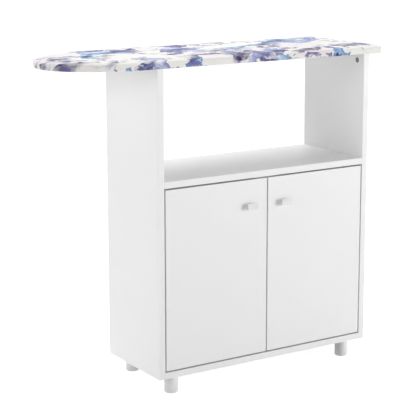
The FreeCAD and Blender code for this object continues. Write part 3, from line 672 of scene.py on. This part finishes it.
# Screws and staples, placed by trees of geometry nodes. A screw's sizes are in millimetres.
Screw = namedtuple("Screw", "head_height recess_width recess_depth shank_radius")
SMALL_SCREW = Screw(1.8, 0.9, 1.1, 1.75)
KNOB_SCREW = Screw(2.2, 1.0, 1.3, 2.0)
HEAD_TOP_SHARE = 0.80
HEAD_BAND = 0.3 * MILLI
HEAD_SIDES = 24
RECESS_REACH = 1.25
SHANK_OVERLAP = 0.3
SHANK_SIDES = 14
SPIN_SEED = 7
STAPLE_BENDS = 8
WIRE_SIDES = 6


class Layout(Nodes):
    """A geometry node tree that puts copies of a small shape on the points it is given."""

    def __init__(self, name, sizes):
        tree = bpy.data.node_groups.new(name, "GeometryNodeTree")
        super().__init__(tree)
        tree.interface.new_socket("Geometry", in_out="INPUT", socket_type="NodeSocketGeometry")
        for label in sizes:
            tree.interface.new_socket(label, in_out="INPUT", socket_type="NodeSocketFloat")
        tree.interface.new_socket("Material", in_out="INPUT", socket_type="NodeSocketMaterial")
        tree.interface.new_socket("Geometry", in_out="OUTPUT", socket_type="NodeSocketGeometry")
        entry = self.node("NodeGroupInput").socket.node
        self.given = {socket.name: Flow(self, socket) for socket in entry.outputs if socket.name}

    def vector(self, x=0.0, y=0.0, z=0.0):
        return self.node("ShaderNodeCombineXYZ", inputs={0: x, 1: y, 2: z})

    def raised(self, shape, z):
        return self.node("GeometryNodeTransform", inputs={"Geometry": shape, "Translation": self.vector(z=z)})

    def close(self, points, shape, turn):
        """Ends the tree: a turned copy of the shape on each point, as plain geometry with its material."""
        values = {"Points": points, "Instance": shape, "Rotation": turn}
        copies = self.node("GeometryNodeInstanceOnPoints", inputs=values)
        real = self.node("GeometryNodeRealizeInstances", inputs={0: copies})
        values = {"Geometry": real, "Material": self.given["Material"]}
        self.node("NodeGroupOutput", inputs={"Geometry": self.node("GeometryNodeSetMaterial", inputs=values)})
        return self.tree


def screw_layout():
    """Cross-headed screws: a tapered head with a cross recess, over a plain shank."""
    lay = Layout("screws", ("Head Radius", "Head Height", "Top Share", "Recess Width", "Recess Depth",
                            "Shank Radius", "Shank Length"))
    given = lay.given
    radius, height = given["Head Radius"], given["Head Height"]
    sizes = {"Radius Top": radius * given["Top Share"], "Radius Bottom": radius, "Depth": height}
    head = lay.node("GeometryNodeMeshCone", inputs={"Vertices": HEAD_SIDES, **sizes})
    reach, depth, width = radius * RECESS_REACH, given["Recess Depth"] * 2, given["Recess Width"]
    arms = [lay.node("GeometryNodeMeshCube", inputs={"Size": lay.vector(*size, depth)})
            for size in ((reach, width), (width, reach))]
    cutter = lay.raised(lay.node("GeometryNodeMeshBoolean", {"operation": "UNION"}, {1: arms}), height)
    cut = lay.node("GeometryNodeMeshBoolean", {"operation": "DIFFERENCE"}, {0: head, 1: cutter})
    length = given["Shank Length"] + height * SHANK_OVERLAP
    sizes = {"Radius": given["Shank Radius"], "Depth": length}
    shank = lay.node("GeometryNodeMeshCylinder", inputs={"Vertices": SHANK_SIDES, **sizes})
    shank = lay.raised(shank, height * SHANK_OVERLAP - length * 0.5)
    screw = lay.node("GeometryNodeJoinGeometry", inputs={0: [cut, shank]})
    aim = lay.node("GeometryNodeInputNamedAttribute", {"data_type": "FLOAT_VECTOR"}, {"Name": "aim"})
    upright = lay.node("FunctionNodeAlignRotationToVector", {"axis": "Z"}, {"Vector": aim})
    limits = {2: 0.0, 3: FULL_TURN, "Seed": SPIN_SEED}
    spin = lay.node("FunctionNodeRandomValue", {"data_type": "FLOAT"}, limits, result=1)
    turn = lay.node("FunctionNodeAxisAngleToRotation", inputs={"Axis": (0, 0, 1), "Angle": spin})
    facing = lay.node("FunctionNodeRotateRotation", {"rotation_space": "LOCAL"}, {0: upright, 1: turn})
    return lay.close(given["Geometry"], screw, facing)


def staple_layout():
    """Wire staples at even steps along a path, each with its crown down and its legs up."""
    lay = Layout("staples", ("Spacing", "Crown", "Wire"))
    given = lay.given
    half, wire = given["Crown"] * 0.5, given["Wire"]
    ends = {"Start": lay.vector(-half, 0.0, wire), "Start Handle": lay.vector(-half, 0.0, -wire),
            "End Handle": lay.vector(half, 0.0, -wire), "End": lay.vector(half, 0.0, wire)}
    arch = lay.node("GeometryNodeCurvePrimitiveBezierSegment", inputs={"Resolution": STAPLE_BENDS, **ends})
    sizes = {"Resolution": WIRE_SIDES, "Radius": wire * 0.5}
    values = {"Curve": arch, "Profile Curve": lay.node("GeometryNodeCurvePrimitiveCircle", inputs=sizes)}
    staple = lay.node("GeometryNodeCurveToMesh", inputs={**values, "Fill Caps": True})
    path = lay.node("GeometryNodeMeshToCurve", inputs={"Mesh": given["Geometry"]})
    values = {"Curve": path, "Length": given["Spacing"]}
    even = lay.node("GeometryNodeResampleCurve", {"mode": "LENGTH"}, values)
    along = {"Vector": lay.node("GeometryNodeInputTangent")}
    facing = lay.node("FunctionNodeAlignRotationToVector", {"axis": "X", "pivot_axis": "Z"}, along)
    return lay.close(even, staple, facing)


SCREW_LAYOUT = screw_layout()


def laid_out(name, tree, points, sizes, material, edges=()):
    """The plain mesh that a layout makes of its points, each a place with the way it faces."""
    mesh = bpy.data.meshes.new(name)
    mesh.from_pydata([place for place, _ in points], edges, [])
    aim = mesh.attributes.new("aim", "FLOAT_VECTOR", "POINT")
    aim.data.foreach_set("vector", [number for _, facing in points for number in facing])
    carrier = shown(name, mesh)
    layout = carrier.modifiers.new(name, "NODES")
    layout.node_group = tree
    sockets = {item.name: item.identifier for item in tree.interface.items_tree if item.in_out == "INPUT"}
    for label, value in sizes.items():
        layout[sockets[label]] = value
    layout[sockets["Material"]] = MATERIALS[material]
    made = evaluated(carrier)
    bpy.data.objects.remove(carrier)
    return made


def solids_of(node):
    """The corners of each separate solid of a CAD node, in a fixed order."""
    built = cleaned(node)
    waiting, groups = set(built.verts), []
    while waiting:
        group = [waiting.pop()]
        for vertex in group:
            for edge in vertex.link_edges:
                other = edge.other_vert(vertex)
                if other in waiting:
                    waiting.discard(other)
                    group.append(other)
        groups.append([vertex.co.copy() for vertex in group])
    built.free()
    return sorted(groups, key=lambda group: tuple(min(group, key=tuple)))


def span(corners, axis):
    """The least and the greatest of the corners' numbers on an axis."""
    return min(c[axis] for c in corners), max(c[axis] for c in corners)


def head_end(corners):
    """A round solid's long axis, the side of its head (1 or -1), its middle and the head's radius."""
    ranges = [span(corners, axis) for axis in range(3)]
    middle = [(low + high) / 2 for low, high in ranges]
    size = [high - low for low, high in ranges]
    axis = max(range(3), key=lambda a: min(abs(size[a] - size[b]) for b in range(3) if b != a))
    across = [a for a in range(3) if a != axis]
    centre = [middle[a] for a in across]

    def radius_at(level):
        near = [c for c in corners if abs(c[axis] - level) < HEAD_BAND]
        return max(math.dist([c[a] for a in across], centre) for c in near)

    low, high = ranges[axis]
    side = 1 if radius_at(high) > radius_at(low) else -1
    return axis, side, middle, radius_at(high if side > 0 else low)


def screws(node, screw):
    """Replaces a group of like CAD screws by cross-headed ones of the same sizes."""
    points, height = [], screw.head_height * MILLI
    for corners in solids_of(node):
        axis, side, middle, radius = head_end(corners)
        low, high = span(corners, axis)
        place, aim = Vector(middle), Vector((0, 0, 0))
        place[axis] = high - height if side > 0 else low + height
        aim[axis] = side
        length = high - low - height
        points.append((place, aim))
    sizes = {"Head Radius": radius, "Head Height": height, "Top Share": HEAD_TOP_SHARE,
             "Recess Width": screw.recess_width * MILLI, "Recess Depth": screw.recess_depth * MILLI,
             "Shank Radius": screw.shank_radius * MILLI, "Shank Length": length}
    slot = slot_of(node)
    mesh = laid_out(node, SCREW_LAYOUT, points, sizes, slot)
    return piece(f"{node}_laid", mesh, body_of(node), slot, [node], smooth=40)


# The ironing board's cover and pad
def board_outline(inset, count=None):
    """The board's outline, set in by a distance, as points at even steps, turning one way."""
    low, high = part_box("board_cover")
    tip, end, front, rear = low[0] + inset, high[0] - inset, low[1] + inset, high[1] - inset
    middle, half, nose = (front + rear) / 2, (rear - front) / 2, NOSE_LENGTH - inset
    corner = max(BOARD_CORNER - inset, MILLI)
    dense = []
    for i in range(NOSE_STEPS + 1):
        angle = QUARTER_TURN + math.pi * i / NOSE_STEPS
        dense.append((tip + nose + nose * math.cos(angle), middle + half * math.sin(angle)))
    for centre_y, start in ((front + corner, -QUARTER_TURN), (rear - corner, 0)):
        for i in range(BOARD_CORNER_STEPS + 1):
            angle = start + QUARTER_TURN * i / BOARD_CORNER_STEPS
            dense.append((end - corner + corner * math.cos(angle), centre_y + corner * math.sin(angle)))
    lengths = [math.dist(a, b) for a, b in zip(dense, dense[1:] + dense[:1])]
    total = sum(lengths)
    count = count or round(total / CLOTH_STEP)
    points, travelled, k = [], 0.0, 0
    for i in range(count):
        goal = total * i / count
        while travelled + lengths[k] < goal:
            travelled += lengths[k]
            k += 1
        share = (goal - travelled) / lengths[k]
        a, b = dense[k], dense[(k + 1) % len(dense)]
        points.append((a[0] + (b[0] - a[0]) * share, a[1] + (b[1] - a[1]) * share))
    return points


def edge_profile(bottom, top):
    """Insets and heights from the underside round the edge to the top."""
    rows = []
    for i in range(ROUND_STEPS + 1):
        angle = QUARTER_TURN * i / ROUND_STEPS
        rows.append((UNDER_ROUND * (1 - math.sin(angle)), bottom + UNDER_ROUND * (1 - math.cos(angle))))
    straight = top - SOFT_DOWN - bottom - UNDER_ROUND
    for i in range(1, SIDE_STEPS):
        rows.append((0.0, bottom + UNDER_ROUND + straight * i / SIDE_STEPS))
    for i in range(TOP_STEPS + 1):
        angle = QUARTER_TURN * i / TOP_STEPS
        rows.append((SOFT_IN * (1 - math.cos(angle)), top - SOFT_DOWN * (1 - math.sin(angle))))
    return rows


def outward(points):
    """The outward direction at each point of a closed outline that turns one way."""
    ways = []
    for i in range(len(points)):
        before, after = points[i - 1], points[(i + 1) % len(points)]
        along = Vector((after[0] - before[0], after[1] - before[1]))
        ways.append(Vector((along.y, -along.x)).normalized())
    return ways


def inside(point, polygon):
    """Whether a flat point lies in a polygon."""
    x, y = point
    odd = False
    for (ax, ay), (bx, by) in zip(polygon, polygon[1:] + polygon[:1]):
        if (ay > y) != (by > y) and x < ax + (y - ay) / (by - ay) * (bx - ax):
            odd = not odd
    return odd


def lookup(places):
    """A tree that finds the nearest of some places."""
    tree = kdtree.KDTree(len(places))
    for i, place in enumerate(places):
        tree.insert(place, i)
    tree.balance()
    return tree


def filled(built, rim, z, holes=(), step=CLOTH_STEP):
    """Fills a flat rim with even triangles, and leaves its holes open."""
    xs, ys = [p[0] for p in rim], [p[1] for p in rim]
    points, edges = [], []
    for loop in (rim, *holes):
        first = len(points)
        points += [Vector(p) for p in loop]
        edges += [(first + i, first + (i + 1) % len(loop)) for i in range(len(loop))]
    rims = lookup([(point.x, point.y, 0) for point in points])
    rise = step * ROW_RISE
    grid = []
    for row in range(int((max(ys) - min(ys)) / rise) + 2):
        for column in range(int((max(xs) - min(xs)) / step) + 2):
            spot = (min(xs) + (column + 0.5 * (row % 2)) * step, min(ys) + row * step * ROW_RISE)
            clear = rims.find((*spot, 0))[2] > step * RIM_CLEARANCE
            if clear and inside(spot, rim) and not any(inside(spot, hole) for hole in holes):
                grid.append(Vector(spot))
    verts, _, faces, *_ = geometry.delaunay_2d_cdt(points + grid, edges, [], 1, FLAT_NEAR)
    cloth = built.verts.layers.float_vector["cloth"]
    made = [built.verts.new((v.x, v.y, z)) for v in verts]
    for vertex, flat in zip(made, verts):
        vertex[cloth] = (flat.x, flat.y, 0)
    for face in faces:
        middle = [sum(verts[i][axis] for i in face) / len(face) for axis in range(2)]
        if not any(inside(middle, hole) for hole in holes):
            built.faces.new([made[i] for i in face])


def walled(built, profile, count):
    """Rings of quads up a profile of insets and heights. Each point keeps its place on the flat cloth."""
    cloth = built.verts.layers.float_vector["cloth"]
    rim = board_outline(profile[-1][0], count)
    away = outward(rim)
    rows, fallen = [], [0.0]
    for row, after in zip(profile[::-1], profile[-2::-1]):
        fallen.append(fallen[-1] + math.dist(row, after))
    for (inset, z), reach in zip(profile, fallen[::-1]):
        row = []
        for (x, y), flat, direction in zip(board_outline(inset, count), rim, away):
            vertex = built.verts.new((x, y, z))
            vertex[cloth] = (flat[0] + direction.x * reach, flat[1] + direction.y * reach, 0)
            row.append(vertex)
        rows.append(row)
    for row, after in zip(rows, rows[1:]):
        strip(built, row, after)
    return rows[0]


def side_panel_spans(margin):
    """Where the side panels stand along the board, each widened by a margin."""
    boxes = [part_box(f"{side}_side_panel") for side in ("left", "right")]
    return [(low[0] - margin, high[0] + margin) for low, high in boxes]


def notched_opening():
    """The opening in the underside of the cover, widened round the cabinet's side panels."""
    low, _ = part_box("board_cover")
    rim = board_outline(HEM_WIDTH)
    shape = []
    panels = side_panel_spans(NOTCH_GAP)
    front = low[1] + NOTCH_FRONT
    for (ax, ay), (bx, by) in zip(rim, rim[1:] + rim[:1]):
        shape.append((ax, ay))
        for walls in panels:
            for wall in walls:
                if ay < 0 and (ax - wall) * (bx - wall) < 0:
                    y = ay + (by - ay) * (wall - ax) / (bx - ax)
                    leg = [(wall, y + (front - y) * i / NOTCH_STEPS) for i in range(NOTCH_STEPS + 1)]
                    shape += leg if wall == walls[0] else leg[::-1]

    def cut_off(point):
        near_front = front + NOTCH_NEAR < point[1] < low[1] + HEM_WIDTH + NOTCH_NEAR
        return near_front and any(a + HAIR < point[0] < b - HAIR for a, b in panels)

    return [point for point in shape if not cut_off(point)]


def swollen(skin, held):
    """Cloth under light pressure with its sides held, so that the cover crowns over the pad."""
    start = [(v.co.copy(), v.normal.copy()) for v in skin.data.vertices]
    grip = skin.vertex_groups.new(name="held")
    grip.add([i for i, (co, _) in enumerate(start) if held(co)], 1.0, "REPLACE")
    cloth = skin.modifiers.new("cloth", "CLOTH")
    cloth.settings.vertex_group_mass = "held"
    cloth.settings.use_pressure = True
    cloth.settings.uniform_pressure_force = SWELL_PRESSURE
    cloth.settings.effector_weights.gravity = 0.0
    cloth.settings.quality = CLOTH_QUALITY
    cloth.point_cache.frame_start, cloth.point_cache.frame_end = 1, SWELL_FRAMES
    for number in range(1, SWELL_FRAMES + 1):
        bpy.context.scene.frame_set(number)
    grown = evaluated(skin)
    skin.modifiers.clear()
    bpy.context.scene.frame_set(1)
    for vertex, (origin, normal) in zip(grown.vertices, start):
        move = vertex.co - origin
        move -= normal * min(0.0, move.dot(normal))
        if move.length > SKIN_LIFT:
            move *= SKIN_LIFT / move.length
        vertex.co = origin + move
    skin.data = grown


def puckered(point, normal, low, high):
    """How far the cloth stands off at a point: soft creases on top, gathers round the edge and on the hem."""
    spot = Vector((point.x * CREASES_ALONG, point.y * CREASES_ACROSS, 0.0))
    crease = noise.noise(spot) * 0.5 + noise.noise(spot * FINE_CREASES + Vector(FINE_PLACE)) * 0.25
    from_middle = [point[axis] - (low[axis] + high[axis]) / 2 for axis in range(2)]
    turn = math.atan2(from_middle[1], from_middle[0] * NOSE_SQUEEZE)
    uneven = max(0.0, GATHER_LEAST + noise.noise(point * UNEVEN_SIZE))
    gather = math.sin(turn * GATHERS + GATHER_WANDER * noise.noise(point * WANDER_SIZE)) * uneven
    side = 1 - min(1.0, normal.z * SIDE_FADE) if normal.z > 0 else 1.0
    under = HEM_GATHERS if normal.z < FACING_DOWN else side
    return CREASE_HEIGHT * crease * max(0.0, normal.z) + GATHER_HEIGHT * gather * under


def cover_skin(low, top):
    """The cover as one thin skin: top, sides and a hem turned under, each point with its flat place."""
    built = bmesh.new()
    cloth = built.verts.layers.float_vector.new("cloth")
    profile = edge_profile(low[2], top)
    count = len(board_outline(0.0))
    rim = board_outline(profile[-1][0], count)
    lowest = walled(built, profile, count)
    filled(built, rim, top)
    walls = set(built.verts)
    filled(built, board_outline(UNDER_ROUND, count), low[2], [notched_opening()])
    ends = lookup([vertex.co for vertex in lowest])
    away = outward(rim)
    for vertex in set(built.verts) - walls:
        _, i, gone = ends.find(vertex.co)
        start = lowest[i][cloth]
        vertex[cloth] = (start[0] + away[i].x * gone, start[1] + away[i].y * gone, 0)
    bmesh.ops.remove_doubles(built, verts=built.verts, dist=NEAR)
    return shown("cover_skin", to_mesh(built, "cover_skin"))


def cover():
    """The printed cover: crowned over the pad, its hem turned under and notched round the side panels."""
    low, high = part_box("board_cover")
    top = high[2] - SKIN_SLACK
    skin = cover_skin(low, top)
    swollen(skin, lambda co: co.z < top - SOFT_DOWN + MILLI)
    built = bmesh.new()
    built.from_mesh(skin.data)
    bpy.data.objects.remove(skin)
    built.normal_update()
    if sum(face.normal.z for face in built.faces if face.calc_center_median().z > top - MILLI) < 0:
        bmesh.ops.reverse_faces(built, faces=built.faces)
    built.normal_update()
    moves = {v: v.normal * puckered(v.co, v.normal, low, high) for v in built.verts}
    for vertex, move in moves.items():
        vertex.co += move
    area = sum(face.calc_area() for face in built.faces)
    mesh = bpy.data.meshes.new("board_cover_cloth")
    built.to_mesh(mesh)
    built.free()
    thin = shown("board_cover_cloth", mesh)
    thick = thin.modifiers.new("thickness", "SOLIDIFY")
    thick.thickness = CLOTH
    thick.offset = -1.0
    solid = evaluated(thin)
    bpy.data.objects.remove(thin)
    body = body_of("board_cover")
    made = piece("board_cover_cloth", solid, body, "printed_cotton", ["board_cover"], smooth=80)
    return made


def hem_staples():
    """Staples that hold the hem to the board's underside, clear of the side panels."""
    low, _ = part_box("board_cover")
    path = board_outline(STAPLE_INSET)
    panels = side_panel_spans(STAPLE_INSET)
    free = [y > low[1] + HEM_WIDTH or not any(a < x < b for a, b in panels) for x, y in path]
    steps = [(i, (i + 1) % len(path)) for i in range(len(path))]
    edges = [(i, k) for i, k in steps if free[i] and free[k]]
    points = [((x, y, low[2] - HAIR), (0, 0, -1)) for x, y in path]
    sizes = {"Spacing": STAPLE_SPACING, "Crown": STAPLE_CROWN, "Wire": STAPLE_WIRE}
    mesh = laid_out("hem_staples", staple_layout(), points, sizes, "steel", edges)
    return piece("hem_staples", mesh, body_of("board_core"), "steel", smooth=60)


def pad():
    """The felt pad under the cover, with the same soft edge."""
    low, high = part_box("board_pad")
    cover_low, cover_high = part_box("board_cover")
    built = bmesh.new()
    built.verts.layers.float_vector.new("cloth")
    top = high[2] - SKIN_SLACK
    inset = (cover_high[0] - cover_low[0] - high[0] + low[0]) / 2 + PAD_SLACK
    rows = [(inset, low[2])]
    for i in range(TOP_STEPS):
        share = (i + 1) / TOP_STEPS
        z = low[2] + (top - low[2]) * math.sin(QUARTER_TURN * share)
        level = min(1.0, max(0.0, 1 - (top - z) / SOFT_DOWN))
        rows.append((inset + SOFT_IN * (1 - math.sqrt(1 - level * level)), z))
    count = len(board_outline(0.0)) // 2
    walled(built, rows, count)
    for inset, z in ((rows[0][0], low[2]), (rows[-1][0], top)):
        filled(built, board_outline(inset, count), z, step=CLOTH_STEP * 2)
    bmesh.ops.remove_doubles(built, verts=built.verts, dist=NEAR)
    mesh = to_mesh(built, "board_pad_felt")
    made = piece("board_pad_felt", mesh, body_of("board_pad"), "foam", ["board_pad"], smooth=60)
    return made


# The cabinet
FRONT_EDGE, REAR_EDGE = (1, False), (1, True)
X_LOW, X_HIGH, Z_LOW, Z_HIGH = (0, False), (0, True), (2, False), (2, True)
for side in ("left", "right"):
    soft_panel(f"{side}_side_panel", [FRONT_EDGE, REAR_EDGE])
for node in ("counter_shelf", "bottom_panel", "inner_shelf"):
    soft_panel(node, [FRONT_EDGE])
for side in ("left", "right"):
    # The doors' edge faces carry the dark painted shade of the gaps round the doors.
    soft_panel(f"{side}_door_panel", [X_LOW, X_HIGH, Z_LOW, Z_HIGH], band="door_edge_painted_shade")
    knob(side)
soft_panel("door_stop", [])
soft_panel("back_panel", [], BACK_ARRIS)
for row in ("front", "rear"):
    for side in ("left", "right"):
        foot(f"{row}_{side}_foot")
for side in ("left", "right"):
    for height in ("upper", "lower"):
        for part in ("plate", "arm", "cup"):
            soft_fitting(f"{height}_{side}_hinge_{part}")
        keep_node(f"{height}_{side}_hinge_pin")
    screws(f"{side}_cup_screws", SMALL_SCREW)
    screws(f"{side}_knob_screw", KNOB_SCREW)
for node in ("hinge_plate_screws", "hinge_arm_screws", "stop_screws"):
    screws(node, SMALL_SCREW)
for node in ("cam_bolts", "cam_locks", "dowels", "shelf_pins", "foot_studs", "back_nails", "door_bumpers",
             "board_core"):
    keep_node(node)
pad()
cover()
hem_staples()


# Floor, light and camera
FLOOR_REACH = 30.0
FLOOR_COLOUR = (0.86, 0.86, 0.86)
FLOOR_GLOW = 0.72
WORLD_LIGHT = 0.40
Lamp = namedtuple("Lamp", "name place target size watts")
LAMPS = (
    Lamp("key", (5.0, -5.2, 0.9), (0.1, 0.0, 0.45), 3.0, 308.0),
    Lamp("left", (-4.8, -0.7, 1.9), (0.0, 0.0, 0.5), 2.0, 65.0),
    Lamp("top", (0.3, 1.6, 4.0), (0.0, 0.0, 0.5), 2.0, 98.0),
    Lamp("back", (-2.6, 4.2, 1.4), (0.2, 0.0, 0.7), 2.0, 22.0),
)


def seen_directly(nodes):
    """One for rays of the camera, for mirrored ones and for ones that pass through, and none for the rest."""
    path = nodes.node("ShaderNodeLightPath")
    camera_ray, mirrored, through = path.beside("Is Camera Ray", "Is Glossy Ray", "Is Transmission Ray")
    return camera_ray.larger(mirrored.larger(through))


def floor():
    """A pale floor that is white to the camera and keeps the object's shadow."""
    mesh = bpy.data.meshes.new("floor")
    corners = [(x * FLOOR_REACH, y * FLOOR_REACH, 0) for x, y in ((-1, -1), (1, -1), (1, 1), (-1, 1))]
    mesh.from_pydata(corners, [], [(0, 1, 2, 3)])
    made = shown("floor", mesh)
    make = Maker("pale_floor", 0.9, Base_Color=opaque(FLOOR_COLOUR), Specular_IOR_Level=0.0)
    paint = Flow(make, make.shader.outputs[0])
    glow = make.node("ShaderNodeEmission", inputs={"Strength": FLOOR_GLOW})
    both = make.node("ShaderNodeAddShader", inputs={0: paint, 1: glow})
    seen = make.node("ShaderNodeMixShader", inputs={0: seen_directly(make), 1: paint, 2: both})
    make.feed(make.tree.nodes["Material Output"].inputs["Surface"], seen)
    mesh.materials.append(make.material)


def lights():
    """Plain soft studio light: a pale world and four large lamps."""
    world = bpy.data.worlds.new("studio")
    bpy.context.scene.world = world
    world.use_nodes = True
    nodes = Nodes(world.node_tree)
    sky = world.node_tree.nodes["Background"]
    sky.inputs["Color"].default_value = (1, 1, 1, 1)
    values = {"Factor_Float": seen_directly(nodes), "A_Float": WORLD_LIGHT, "B_Float": 1.0}
    nodes.feed(sky.inputs["Strength"], nodes.node("ShaderNodeMix", inputs=values, result="Result_Float"))
    for lamp in LAMPS:
        light = bpy.data.lights.new(lamp.name, "AREA")
        light.shape = "SQUARE"
        light.size = lamp.size
        light.energy = lamp.watts
        holder = shown(lamp.name, light)
        holder.location = lamp.place
        way = Vector(lamp.target) - Vector(lamp.place)
        holder.rotation_euler = way.to_track_quat("-Z", "Y").to_euler()


def camera():
    """The camera at the photograph's viewing angle."""
    lens = bpy.data.cameras.new("camera")
    lens.sensor_width = SENSOR_WIDTH
    lens.lens = CAMERA_LENS
    lens.shift_y = CAMERA_SHIFT
    lens.clip_end = FARTHEST_SEEN
    holder = shown("camera", lens)
    holder.location = CAMERA_PLACE
    holder.rotation_euler = (math.radians(90 - CAMERA_PITCH), 0, math.radians(-CAMERA_TURN))
    bpy.context.scene.camera = holder


floor()
lights()
camera()
bpy.context.scene.view_settings.view_transform = "Standard"
